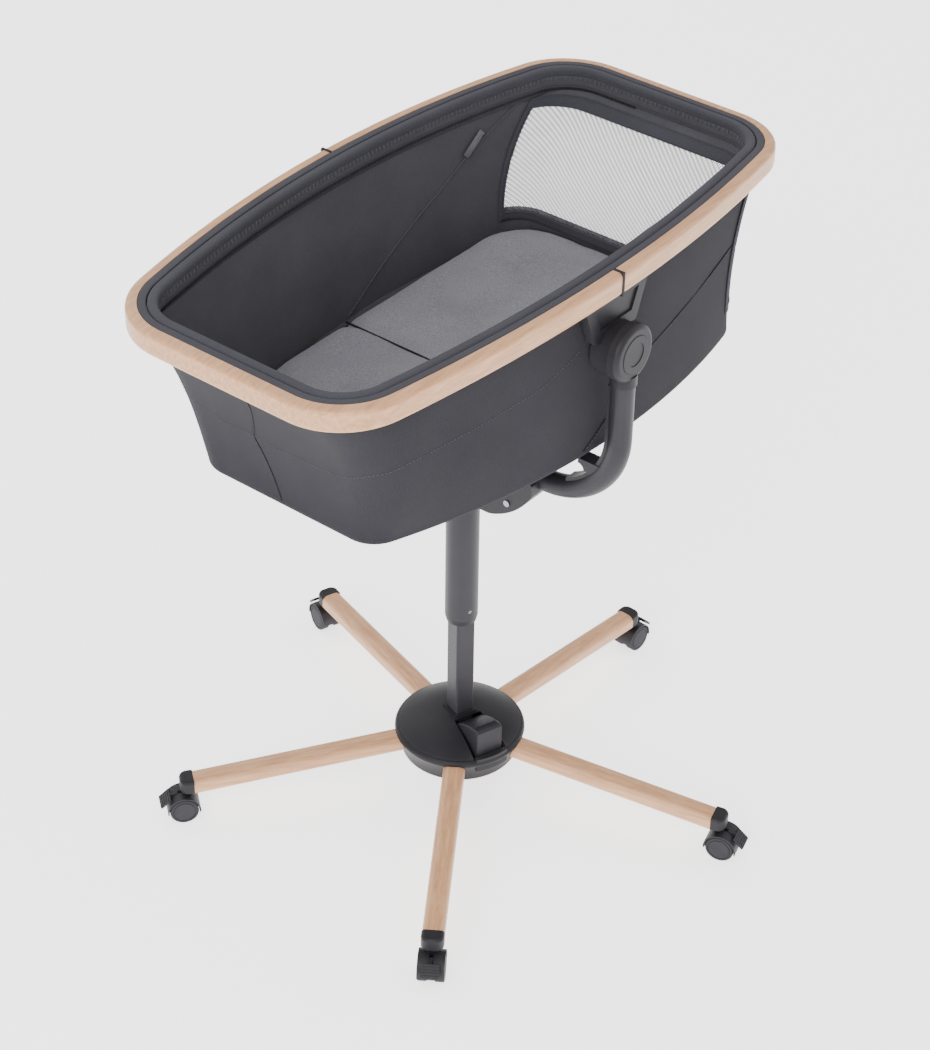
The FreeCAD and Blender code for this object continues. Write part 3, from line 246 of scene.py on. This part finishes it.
CHARCOAL = moulded("charcoal_plastic", "1F1E22", 0.48)
TUBE = moulded("charcoal_coat", "242328", 0.4, 1100.0, 0.3)
GREY = moulded("grey_plastic", "55545A", 0.6)
# dark plastic for the joint rings and zipper teeth, also the painted shadow line in the mattress's fold
DARK = moulded("dark_parts_and_fold_shadow", "1C1B1F", 0.7)
TREAD = moulded("wheel_tread", "27262B", 0.6, 900.0, 0.35)
STEEL = metal("zinc_steel", "9A9CA0", 0.38)
ALU = metal("mill_aluminium", "B0B2B6", 0.42)
OUTER = cloth("charcoal_fabric", "25242A", "302F34", 1.7, 0.05)
LINER = cloth("liner_fabric", "414046", "57565C", 1.4, 0.06, lumps=1.3)
# painted shadow: the outer seams' ridges are coloured darker than the fabric for the shade in their creases
SEAM_SHADOW = cloth("seam_shadow", "1C1B1F", "27262B", 0.8, 0.0, lumps=0.3)
TRIM = cloth("trim_fabric", "3A3940", "4B4A51", 1.2, 0.06, lumps=0.5)
PADDING = cloth("mattress_melange", "6C6B71", "9B99A1", 1.3, 0.15, "Object", 1.5)
THREAD = cloth("stitch_thread", "4A494F", "66656C", 0.8, 0.1, "Object", 0.3)
TAG = cloth("tag_weave", "4E4D53", "77767C", 0.9)
NET = net("window_net")


def dress_nodes():
    """Give every carried-over CAD node its material."""
    plan = {"leg_spider": STEEL, "base_screws": STEEL, "gas_cylinder": STEEL, "gas_rod": STEEL,
            "pivot_pins": STEEL, "pedal_bracket": STEEL, "pedal_pin": STEEL, "pedal_spring": STEEL,
            "release_arm": STEEL, "lift_screws": STEEL, "rim_channel": ALU, "column_tube": TUBE,
            "lift_tube": TUBE, "yoke_tube": TUBE, "arm_covers": CHARCOAL, "column_guide": GREY,
            "rim_joint_rings": DARK, "wood_rim_head": beech(0), "wood_rim_foot": beech(0)}
    for name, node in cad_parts.items():
        material = plan.get(name, CHARCOAL)
        if name.startswith("leg_") and name[4:].isdigit():
            low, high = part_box(name)
            middle = (low + high) / 2
            material = beech(math.degrees(math.atan2(middle.y, middle.x)))
        if name.startswith("caster_wheels"):
            material = TREAD
        node.data.materials.clear()
        node.data.materials.append(material)


# ---------------------------------------------------------------- outlines and mesh helpers
def outline(half_length, half_width, bow, corner, shift=0.0):
    """Points and outward directions round a bowed oval, from the head end's middle, turning left."""
    centre = half_width - bow
    reach = bow - corner

    def corner_of(side):
        x = side * (half_length - corner)
        y = centre + math.sqrt(reach ** 2 - (x - shift) ** 2)
        return x, y, math.atan2(y - centre, x - shift)

    hx, hy, head_turn = corner_of(1)
    fx, fy, foot_turn = corner_of(-1)
    points = []
    for i in range(END_POINTS):
        points.append((half_length, hy * i / END_POINTS, 0.0))
    for i in range(CORNER_POINTS):
        a = head_turn * i / CORNER_POINTS
        points.append((hx + corner * math.cos(a), hy + corner * math.sin(a), a))
    for i in range(SIDE_POINTS):
        a = head_turn + (foot_turn - head_turn) * i / SIDE_POINTS
        points.append((shift + bow * math.cos(a), centre + bow * math.sin(a), a))
    for i in range(CORNER_POINTS):
        a = foot_turn + (math.pi - foot_turn) * i / CORNER_POINTS
        points.append((fx + corner * math.cos(a), fy + corner * math.sin(a), a))
    for i in range(END_POINTS):
        points.append((-half_length, fy * (1 - i / END_POINTS), math.pi))
    near = [(x, -y, -a) for x, y, a in reversed(points[1:])]
    points.append((-half_length, 0.0, math.pi))
    every = np.array(points + near)
    return every[:, :2], np.stack([np.cos(every[:, 2]), np.sin(every[:, 2])], 1)


def droop(x):
    """How far the rim has dropped at a distance from its middle."""
    return DROOP_RADIUS - np.sqrt(DROOP_RADIUS ** 2 - x ** 2)


def rim_ring(offset, height):
    """Ring at an outward offset and a height from the rim line."""
    xy, _ = outline(RIM_LENGTH + offset, RIM_WIDTH + offset, RIM_BOW + offset, RIM_CORNER + offset)
    z = RIM_TOP + height - droop(xy[:, 0])
    return np.column_stack([xy, z])


def end_inset(t):
    """How far the end walls have come in at a share of the height."""
    return (WALL_INSET + END_LEAN * t - END_CURL * t * t) * MM


def wall_ring(t, inset=0.0, fold=0.0):
    """Ring of the basket's wall at a share t of its height from the top, moved inwards."""
    side = (WALL_INSET - WALL_SWELL * t) * MM + inset
    corner = (WALL_CORNER - CORNER_CHANGE * t) * MM - inset
    tuck = HEAD_TUCK / 2 * math.sin(math.pi * t ** 0.75)
    xy, normal = outline(RIM_LENGTH - end_inset(t) - inset - tuck, RIM_WIDTH - side,
                         (WALL_BOW - BOW_CHANGE * t) * MM - inset, max(corner, LEAST_CORNER),
                         BOW_SHIFT * MM * t + tuck)
    xy = xy - [tuck, 0.0]
    top = RIM_TOP - FABRIC_TOP - droop(xy[:, 0])
    z = top + (FLOOR_OF_BASKET - top) * t
    if fold:
        ripple = [noise.noise(Vector((p[0] * 9, p[1] * 9, q * 5))) for p, q in zip(xy, z)]
        xy = xy - normal * np.abs(np.array(ripple))[:, None] * fold
    return np.column_stack([xy, z])


def mesh_object(name, points, faces, material, body, uvs=None):
    """Smooth mesh that rides on a body and takes a material slot."""
    mesh = bpy.data.meshes.new(name)
    mesh.from_pydata([tuple(map(float, p)) for p in points], [], faces)
    mesh.update()
    if uvs is not None:
        layer = mesh.uv_layers.new(name="UVMap")
        index = np.zeros(len(mesh.loops), dtype=np.int32)
        mesh.loops.foreach_get("vertex_index", index)
        layer.data.foreach_set("uv", np.asarray(uvs, dtype=np.float32)[index].ravel())
    mesh.polygons.foreach_set("use_smooth", [True] * len(mesh.polygons))
    made = bpy.data.objects.new(name, mesh)
    bpy.context.scene.collection.objects.link(made)
    made.data.materials.append(material)
    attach(made, body)
    return made


def modify(piece, kind, **settings):
    """Add one modifier and apply it at once."""
    made = piece.modifiers.new(kind, kind)
    for key, value in settings.items():
        setattr(made, key, value)
    bpy.context.view_layer.update()
    graph = bpy.context.evaluated_depsgraph_get()
    mesh = bpy.data.meshes.new_from_object(piece.evaluated_get(graph))
    piece.modifiers.clear()
    piece.data = mesh
    return piece


def ring_uvs(rings):
    """Surface coordinates in metres: along the ring, and down the wall."""
    first = rings[len(rings) // 2]
    steps = np.linalg.norm(np.roll(first, -1, axis=0) - first, axis=1)
    along = np.concatenate([[0], np.cumsum(steps)[:-1]])
    uvs = []
    down = np.zeros(COUNT)
    for k, ring in enumerate(rings):
        if k:
            down = down + np.linalg.norm(ring - rings[k - 1], axis=1)
        uvs.append(np.column_stack([along, down]))
    return np.concatenate(uvs)


def ring_faces(count, closed_profile=False, skip=None):
    """Quads between rings that follow each other."""
    faces = []
    for k in range(count if closed_profile else count - 1):
        for i in range(COUNT):
            if skip and skip(k, i):
                continue
            j = (i + 1) % COUNT
            a, b = k * COUNT, (k + 1) % count * COUNT
            faces.append((a + i, b + i, b + j, a + j))
    return faces


def hoop(name, profile, material):
    """Closed band round the whole rim with the given (offset, height) profile, in millimetres."""
    rings = [rim_ring(o * MM, h * MM) for o, h in profile]
    points = np.concatenate(rings)
    return mesh_object(name, points, ring_faces(len(rings), True), material, "cradle",
                       ring_uvs(rings))


def round_profile(left, right, low, high, corner=3.0, steps=4):
    """Rectangle with rounded corners as a closed profile."""
    centres = [(left + corner, low + corner, 180), (right - corner, low + corner, 270),
               (right - corner, high - corner, 0), (left + corner, high - corner, 90)]
    points = []
    for x, y, start in centres:
        for i in range(steps + 1):
            a = math.radians(start + 90 * i / steps)
            points.append((x + corner * math.cos(a), y + corner * math.sin(a)))
    return points


def tube(name, path, radius, material, body, closed=False, sides=8):
    """Thin round tube along a path."""
    path = np.asarray(path, float)
    after = np.roll(path, -1, 0)
    before = np.roll(path, 1, 0)
    if not closed:
        after[-1] = path[-1]
        before[0] = path[0]
    points = []
    for p, a, b in zip(path, after, before):
        t = Vector(a - b).normalized()
        side = t.orthogonal() if abs(t.z) > 0.95 else t.cross(Vector((0, 0, 1)))
        side.normalize()
        up = side.cross(t)
        for k in range(sides):
            w = 2 * math.pi * k / sides
            points.append(Vector(p) + (side * math.cos(w) + up * math.sin(w)) * radius)
    n = len(path)
    faces = []
    for i in range(n if closed else n - 1):
        for k in range(sides):
            a, b = i * sides, (i + 1) % n * sides
            faces.append((a + k, a + (k + 1) % sides, b + (k + 1) % sides, b + k))
    if not closed:
        faces.append(tuple(reversed(range(sides))))
        faces.append(tuple(range((n - 1) * sides, n * sides)))
    return mesh_object(name, points, faces, material, body)


def beads(name, spots, size, material, body):
    """Many small rounded bars: each spot is (place, long direction, up direction)."""
    points, faces = [], []
    long, wide, high = (s / 2 for s in size)
    shape = [(-1, 0, 0), (-0.7, 1, 0), (-0.7, 0, 1), (-0.7, -1, 0), (-0.7, 0, -1),
             (0.7, 1, 0), (0.7, 0, 1), (0.7, -1, 0), (0.7, 0, -1), (1, 0, 0)]
    for place, along, up in spots:
        along = Vector(along).normalized()
        side = Vector(up).cross(along).normalized()
        top = along.cross(side)
        base = len(points)
        for x, y, z in shape:
            points.append(Vector(place) + along * x * long + side * y * wide + top * z * high)
        for k in range(4):
            m = (k + 1) % 4
            faces.append((base, base + 1 + m, base + 1 + k))
            faces.append((base + 1 + k, base + 1 + m, base + 5 + m, base + 5 + k))
            faces.append((base + 9, base + 5 + k, base + 5 + m))
    return mesh_object(name, points, faces, material, body)


# ---------------------------------------------------------------- the basket
WINDOW_TOP, WINDOW_LOW = 0.10, 0.76
WINDOW_SIDE = END_POINTS + CORNER_POINTS - 2
LEVELS = 46
WALL_DEPTH = 0.225                        # for the weave's scale down the wall


def in_window(t, i):
    """Whether a place on the wall is inside the head window."""
    i = min(i, COUNT - 1 - i)
    return WINDOW_TOP < t < WINDOW_LOW and i < WINDOW_SIDE


def shell_rings(inset, low_round, fold):
    """Rings of the wall, of its rounded foot and of the floor."""
    last = 1 - low_round / (RIM_TOP - FABRIC_TOP - FLOOR_OF_BASKET)
    shares = [last * k / LEVELS for k in range(LEVELS + 1)]
    rings = [wall_ring(t, inset, fold if 0.05 < t < 0.96 else fold * 0.3) for t in shares]
    for k in range(1, FOOT_STEPS + 1):
        a = math.radians(90 * k / FOOT_STEPS)
        ring = wall_ring(last, inset + low_round * (1 - math.cos(a)))
        ring[:, 2] = FLOOR_OF_BASKET + inset + low_round * (1 - math.sin(a))
        rings.append(ring)
    foot = rings[-1]
    for share in FLOOR_SHARES:
        rings.append(foot * [share, share, 1] + [FLOOR_CENTRE * (1 - share), 0, 0])
    return rings, shares


def make_shell():
    """Outer fabric with its window opening, and the inner fabric behind it."""
    for name, inset, fold, cad, material, slot in (
            ("basket_cover", 0.0, 1.6 * MM, "basket_shell", OUTER, "charcoal_fabric"),
            ("basket_lining", LINING_INSET, 2.2 * MM, "liner", LINER, "liner_fabric")):
        rings, shares = shell_rings(inset, FOOT_ROUND, fold)

        def skip(k, i):
            return k < LEVELS and in_window((shares[k] + shares[k + 1]) / 2, i)

        piece = mesh_object(name, np.concatenate(rings), ring_faces(len(rings), skip=skip), material,
                            "cradle", ring_uvs(rings))
        modify(piece, "SOLIDIFY", thickness=2.2 * MM, offset=1.0 if inset else -1.0)
        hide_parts(cad)


def wall_line(start, end, steps, inset=-1.0 * MM):
    """Path on the wall between two (ring index, share) places."""
    path = []
    for k in range(steps + 1):
        s = k / steps
        index = start[0] + (end[0] - start[0]) * s
        t = start[1] + (end[1] - start[1]) * s
        ring = wall_ring(t, inset)
        low = int(math.floor(index))
        part = index - low
        path.append(ring[low % COUNT] * (1 - part) + ring[(low + 1) % COUNT] * part)
    return path


def window_loop(inset):
    """Closed path round the window opening."""
    low, high = -WINDOW_SIDE, WINDOW_SIDE
    path = wall_line((low, WINDOW_TOP), (high, WINDOW_TOP), 60, inset)
    path += wall_line((high, WINDOW_TOP), (high, WINDOW_LOW), 16, inset)[1:]
    path += wall_line((high, WINDOW_LOW), (low, WINDOW_LOW), 60, inset)[1:]
    path += wall_line((low, WINDOW_LOW), (low, WINDOW_TOP), 16, inset)[1:-1]
    return path


def patch(name, index_range, share_range, inset, material, thick=1.2 * MM):
    """Strip of fabric on the wall between two ring indices and two shares."""
    columns = max(2, int(abs(index_range[1] - index_range[0])))
    rows = max(2, int(abs(share_range[1] - share_range[0]) * 60))
    points, uvs, faces = [], [], []
    for r in range(rows + 1):
        t = share_range[0] + (share_range[1] - share_range[0]) * r / rows
        line = wall_line((index_range[0], t), (index_range[1], t), columns, inset)
        run = 0.0
        for c, p in enumerate(line):
            if c:
                run += float(np.linalg.norm(p - line[c - 1]))
            points.append(p)
            uvs.append((run, t * WALL_DEPTH))
    for r in range(rows):
        for c in range(columns):
            a = r * (columns + 1) + c
            faces.append((a, a + columns + 1, a + columns + 2, a + 1))
    piece = mesh_object(name, points, faces, material, "cradle", uvs)
    return modify(piece, "SOLIDIFY", thickness=thick, offset=0.0) if thick else piece


def make_window():
    """Net in the head window, with bound edges outside and inside."""
    side = WINDOW_SIDE
    piece = patch("window_net", (-side - 1, side + 1), (WINDOW_TOP - 0.02, WINDOW_LOW + 0.02), 4 * MM,
                  NET, 0.0)
    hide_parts("mesh_window")
    band = 0.055
    for label, inset in (("outer", -1.2 * MM), ("inner", 9.5 * MM)):
        patch("window_band_top_" + label, (-side - 1.6, side + 1.6), (WINDOW_TOP - band, WINDOW_TOP + 0.01),
              inset, TRIM)
        patch("window_band_low_" + label, (-side - 1.6, side + 1.6), (WINDOW_LOW - 0.01, WINDOW_LOW + band),
              inset, TRIM)
        for end, sign in (("far", 1), ("near", -1)):
            patch("window_band_%s_%s" % (end, label), (sign * (side - 0.2), sign * (side + 1.8)),
                  (WINDOW_TOP - band, WINDOW_LOW + band), inset, TRIM)
        tube("window_piping_" + label, window_loop(inset), 1.5 * MM, TRIM, "cradle", True)


def stitches(name, path, pitch, size, lift=0.0, material=None, across=False):
    """Row of stitches along a path."""
    path = np.asarray(path, float)
    lengths = np.concatenate([[0], np.cumsum(np.linalg.norm(np.diff(path, axis=0), axis=1))])
    spots = []
    for s in np.arange(pitch / 2, lengths[-1], pitch):
        k = min(int(np.searchsorted(lengths, s)) - 1, len(path) - 2)
        part = (s - lengths[k]) / max(lengths[k + 1] - lengths[k], 1e-9)
        place = path[k] * (1 - part) + path[k + 1] * part
        along = Vector(path[k + 1] - path[k]).normalized()
        outward = Vector((place[0], place[1], 0)).normalized()
        up = outward - along * outward.dot(along)
        if up.length < 1e-6:
            up = Vector((0, 0, 1))
        up.normalize()
        spot = Vector(place) + up * lift
        spots.append((spot, along.cross(up) if across else along, up))
    return beads(name, spots, size, material or THREAD, "cradle")


def seam(name, corners, inset, radius, material, sewn):
    """Seam through (ring index, share) corners on the wall, with its row of stitches."""
    path = []
    for start, end in zip(corners, corners[1:]):
        path += wall_line(start, end, 24, inset)[1 if path else 0:]
    tube("seam_" + name, path, radius, material, "cradle")
    if sewn:
        beside = [p - [0, 0, 3 * MM] for p in path[:-2]]
        stitches("stitches_" + name, beside, 5 * MM, (3.2 * MM, 0.7 * MM, 0.7 * MM))


def make_seams():
    """Sewn seams on the outside and inside, and the stitched line round the foot half."""
    diagonal = [(WINDOW_SIDE + 2, 0.374), (51, 0.56), (61, 0.80), (67, 0.955)]
    lining = [(28, 0.03), (40, 0.42), (62, 0.93)]
    foot = [(HALF, 0.02), (HALF - 0.8, 0.28), (HALF - 2.6, 0.56), (HALF - 0.3, 0.955)]
    for label, sign in (("far", 1), ("near", -1)):
        # the outer seams take the painted-shadow seam colour
        seam("side_" + label, [(i * sign, t) for i, t in diagonal], 0.5 * MM, 1.0 * MM, SEAM_SHADOW,
             True)
        seam("lining_" + label, [(i * sign, t) for i, t in lining], 9.2 * MM, 1.0 * MM, LINER,
             False)
    seam("foot_end", foot, 0.5 * MM, 1.0 * MM, SEAM_SHADOW, True)
    turns = [(69, 0.28), (77, 0.37), (102, 0.42), (111, 0.46), (121, 0.55), (HALF, 0.56)]
    hem = []
    for start, end in zip(turns, turns[1:]):
        hem += wall_line(start, end, 30, -0.5 * MM)[1 if hem else 0:]
    other = [p * [1, -1, 1] for p in reversed(hem[:-1])]
    stitches("stitches_foot_band", hem + other, 5 * MM, (3.0 * MM, 0.6 * MM, 0.6 * MM))


def make_tag():
    """Blank woven tag along the lining's diagonal seam on the far wall."""
    index, share, slope, inset = 35.0, 0.20, 0.07, 10.6 * MM
    half_long, half_wide, thickness = 0.020, 0.006, 1.2 * MM
    centre = wall_line((index, share), (index + 1, share), 1, inset)[0]
    along = wall_line((index - 1, share - slope), (index + 1, share + slope), 1, inset)
    run = Vector(along[1] - along[0]).normalized()
    inward = Vector((-centre[0] * 0.1, -1.0, 0.0)).normalized()
    cross = run.cross(inward).normalized()
    points = []
    for lift in (0.0, thickness):
        for a, b in ((-1, -1), (1, -1), (1, 1), (-1, 1)):
            points.append(Vector(centre) + run * a * half_long + cross * b * half_wide + inward * lift)
    faces = [(3, 2, 1, 0), (4, 5, 6, 7)] + [(k, (k + 1) % 4, (k + 1) % 4 + 4, k + 4) for k in range(4)]
    uvs = [(p.x, p.z) for p in points]
    mesh_object("fabric_tag", points, faces, TAG, "cradle", uvs)


# ---------------------------------------------------------------- the rim's trims
TRIM_STITCH = 7 * MM


def make_trims():
    """Outer flat strip, padded inner strip, stitched band and zipper inside the wooden rim."""
    outer = hoop("trim_outer_strip", round_profile(-10.5, -0.4, -9.0, 0.3, 1.6), TRIM)
    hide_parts("rim_trim")
    hoop("trim_padded_strip", round_profile(-24.5, -11.4, -12.0, 1.2, 4.6, 6), TRIM)
    band = [(-24.2, -5), (-22.4, -5), (-19.2, -24), (-15.6, -40), (-17.0, -40), (-21.0, -24)]
    hoop("trim_band", band, LINER)
    tube("trim_cord", rim_ring(-19.4 * MM, -24.5 * MM), 1.7 * MM, TRIM, "cradle", True)
    ticks = rim_ring(-23.6 * MM, -13 * MM)
    spots = []
    rows = np.vstack([ticks, ticks[:1]])
    gaps = np.linalg.norm(np.diff(rows, axis=0), axis=1)
    lengths = np.concatenate([[0], np.cumsum(gaps)])
    for s in np.arange(0, lengths[-1], TRIM_STITCH):
        k = min(int(np.searchsorted(lengths, s, side="right")) - 1, COUNT - 1)
        part = (s - lengths[k]) / gaps[k]
        place = rows[k] * (1 - part) + rows[k + 1] * part
        along = Vector(rows[k + 1] - rows[k]).normalized()
        inward = Vector((0, 0, 1)).cross(along)
        spots.append((Vector(place) + inward * 0.9 * MM, Vector((0, 0, 1)) - inward * 0.2, inward))
    beads("trim_stitches", spots, (6.0 * MM, 1.3 * MM, 1.3 * MM), THREAD, "cradle")
    zip_path = rim_ring(-20.8 * MM, -30 * MM)[4:HALF - END_POINTS]
    stitches("zipper_teeth", zip_path, 2.6 * MM, (4.2 * MM, 1.5 * MM, 1.5 * MM), -1.0 * MM, DARK,
             True)


# ---------------------------------------------------------------- the mattress
def pad_ring(inset, z):
    """Plan of the mattress: straight long edges and broad corners, inside the basket's floor."""
    floor_plan = wall_ring(1.0, 11 * MM + inset)
    straight, _ = outline(PAD_LENGTH - inset, PAD_WIDTH - inset, 60.0, 85 * MM - inset)
    angle = np.unwrap(np.arctan2(floor_plan[:, 1], floor_plan[:, 0]))
    reach = np.hypot(floor_plan[:, 0], floor_plan[:, 1])
    other = np.unwrap(np.arctan2(straight[:, 1], straight[:, 0]))
    limit = np.interp(angle, other, np.hypot(straight[:, 0], straight[:, 1]), period=2 * math.pi)
    best = np.minimum(reach, limit)
    for _ in range(3):
        best = (np.roll(best, 1) + 2 * best + np.roll(best, -1)) / 4
    return np.column_stack([best * np.cos(angle), best * np.sin(angle), np.full(COUNT, z)])


def mattress_form(inset, low, high):
    """Closed slab with rounded edges in the plan of the basket's floor."""
    rings = []
    radius = 9 * MM
    steps = 5
    turns = [math.radians(90 * k / steps) for k in range(steps + 1)]
    levels = [(radius * (1 - math.sin(a)), low + radius * (1 - math.cos(a))) for a in turns]
    levels += [(radius * (1 - math.cos(a)), high - radius * (1 - math.sin(a))) for a in turns]
    for extra, z in levels:
        rings.append(pad_ring(inset + extra, z))
    middle = [FLOOR_CENTRE, 0, 0]
    shares = (0.93, 0.84, 0.72, 0.58, 0.42, 0.26, 0.12, 0.02)
    for share in shares:
        rings.append((rings[2 * steps + 1] - middle) * [share, share, 1] + middle)
    rings = [(rings[0] - middle) * [share, share, 1] + middle for share in reversed(shares)] + rings
    faces = ring_faces(len(rings))
    faces.append(tuple(range(COUNT)))
    faces.append(tuple(reversed(range((len(rings) - 1) * COUNT, len(rings) * COUNT))))
    return np.concatenate(rings), faces


SWELL_PRESSURE, SWELL_FRAMES, SWELL_CAP, VOXEL = 4.0, 18, 5 * MM, 6 * MM
FOLD_X = -35 * MM
DIMPLES = ((0.215, -0.02, 0.03), (0.13, -0.05, 0.028), (-0.17, 0.02, 0.035))


def make_mattress():
    """Two-part padded mattress: simulated swelling, then its cross fold with a dark tube as painted shadow
    in its groove, dimples and harness slots.
    """
    top = mattress_high.z
    points, faces = mattress_form(2 * MM, mattress_low.z, top - 3 * MM)
    pad = mesh_object("mattress_pad", points, faces, PADDING, "cradle")
    pad.parent = None                     # off the body while it is shaped
    modify(pad, "REMESH", mode="VOXEL", voxel_size=VOXEL)
    rest = np.array([v.co for v in pad.data.vertices])
    modifier = pad.modifiers.new("cloth", "CLOTH")
    modifier.settings.use_pressure = True
    modifier.settings.uniform_pressure_force = SWELL_PRESSURE
    modifier.settings.effector_weights.gravity = 0.0
    modifier.settings.quality = 5
    scene = bpy.context.scene
    for number in range(1, SWELL_FRAMES + 1):
        scene.frame_set(number)
    graph = bpy.context.evaluated_depsgraph_get()
    swollen = bpy.data.meshes.new_from_object(pad.evaluated_get(graph))
    moved = np.array([v.co for v in swollen.vertices]) - rest
    length = np.linalg.norm(moved, axis=1)[:, None]
    moved = moved * np.minimum(1.0, SWELL_CAP / np.maximum(length, 1e-9))
    pad.modifiers.clear()
    scene.frame_set(1)
    final = rest + moved
    final[:, 2] = np.maximum(final[:, 2], mattress_low.z)
    upper = final[:, 2] > top - 12 * MM
    groove = 6 * MM * np.exp(-((final[:, 0] - FOLD_X) / (7 * MM)) ** 2)
    slack = [noise.noise(Vector((p[0] * 11, p[1] * 17, 3.0))) * 1.6 * MM for p in final]
    dip = np.zeros(len(final))
    for x, y, size in DIMPLES:
        dip += 2.2 * MM * np.exp(-((final[:, 0] - x) ** 2 + (final[:, 1] - y) ** 2) / size ** 2)
    final[:, 2] -= np.where(upper, groove + dip - np.array(slack), 0)
    pad.data.vertices.foreach_set("co", final.astype(np.float32).ravel())
    modify(pad, "SUBSURF", levels=1)
    pad.data.polygons.foreach_set("use_smooth", [True] * len(pad.data.polygons))
    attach(pad, "cradle")
    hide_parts("mattress")
    # painted shadow: a dark tube laid along the fold's groove
    fold = [(FOLD_X, y, top - 3.2 * MM) for y in np.linspace(-0.168, 0.168, 40)]
    tube("mattress_fold_shadow", fold, 1.5 * MM, DARK, "cradle")
    for label, x, y0, y1 in (("wide", 0.257, 0.020, 0.060), ("narrow", 0.192, 0.012, 0.056)):
        spots = [(Vector((x, (y0 + y1) / 2, top - 0.6 * MM)), Vector((0, 1, 0)), Vector((0, 0, 1)))]
        beads("harness_slot_" + label, spots, (y1 - y0, 3 * MM, 1.6 * MM), TRIM, "cradle")


# ---------------------------------------------------------------- stage
FLOOR_GLOW, SKY_LIGHT = 1.9, 1.1


def make_stage():
    """Pale floor, even surroundings and three soft lamps."""
    bpy.ops.mesh.primitive_plane_add(size=14.0)
    floor = bpy.context.object
    floor.name = "studio_floor"
    s = Shader("studio_floor", 0.85)
    s.paint(s.ramp(s.noise(s.coords(), 3.0), color("F9F9F9"), color("FBFBFB")))
    s.bsdf.inputs["Emission Color"].default_value = (1, 1, 1, 1)
    s.bsdf.inputs["Emission Strength"].default_value = FLOOR_GLOW
    floor.data.materials.append(s.material)
    world = bpy.context.scene.world or bpy.data.worlds.new("studio")
    bpy.context.scene.world = world
    world.use_nodes = True
    world.node_tree.nodes["Background"].inputs[0].default_value = (1, 1, 1, 1)
    world.node_tree.nodes["Background"].inputs[1].default_value = SKY_LIGHT
    lamps = (("key", (-3.2, -1.0, 2.6), 2.2, 110.0), ("fill", (2.6, -2.4, 2.4), 2.4, 22.0),
             ("back", (0.6, 3.0, 2.8), 2.4, 30.0))
    for name, place, size, power in lamps:
        data = bpy.data.lights.new(name, "AREA")
        data.energy = power
        data.size = size
        lamp = bpy.data.objects.new(name, data)
        lamp.location = place
        lamp.rotation_euler = (Vector((0, 0, 0.6)) - Vector(place)).to_track_quat("-Z", "Y").to_euler()
        bpy.context.scene.collection.objects.link(lamp)


def make_camera():
    """Camera at the picture's viewing angle."""
    azimuth, elevation, roll = (math.radians(a) for a in (-51.5165, 36.5596, 0.8984))
    target = Vector((-0.0614, -0.0527, 0.5))
    distance = 3.3051
    back = Vector((math.sin(azimuth) * math.cos(elevation), -math.cos(azimuth) * math.cos(elevation),
                   math.sin(elevation)))
    right = Vector((0, 0, 1)).cross(back).normalized()
    up = back.cross(right)
    turned_right = right * math.cos(roll) + up * math.sin(roll)
    turned_up = up * math.cos(roll) - right * math.sin(roll)
    data = bpy.data.cameras.new("camera")
    data.lens = 88.70
    data.sensor_width = 36.0
    camera = bpy.data.objects.new("camera", data)
    rows = Matrix((turned_right, turned_up, back)).transposed().to_4x4()
    camera.matrix_world = Matrix.Translation(target + back * distance) @ rows
    bpy.context.scene.collection.objects.link(camera)
    bpy.context.scene.camera = camera


dress_nodes()
make_shell()
make_window()
make_seams()
make_tag()
make_trims()
make_mattress()
make_stage()
make_camera()
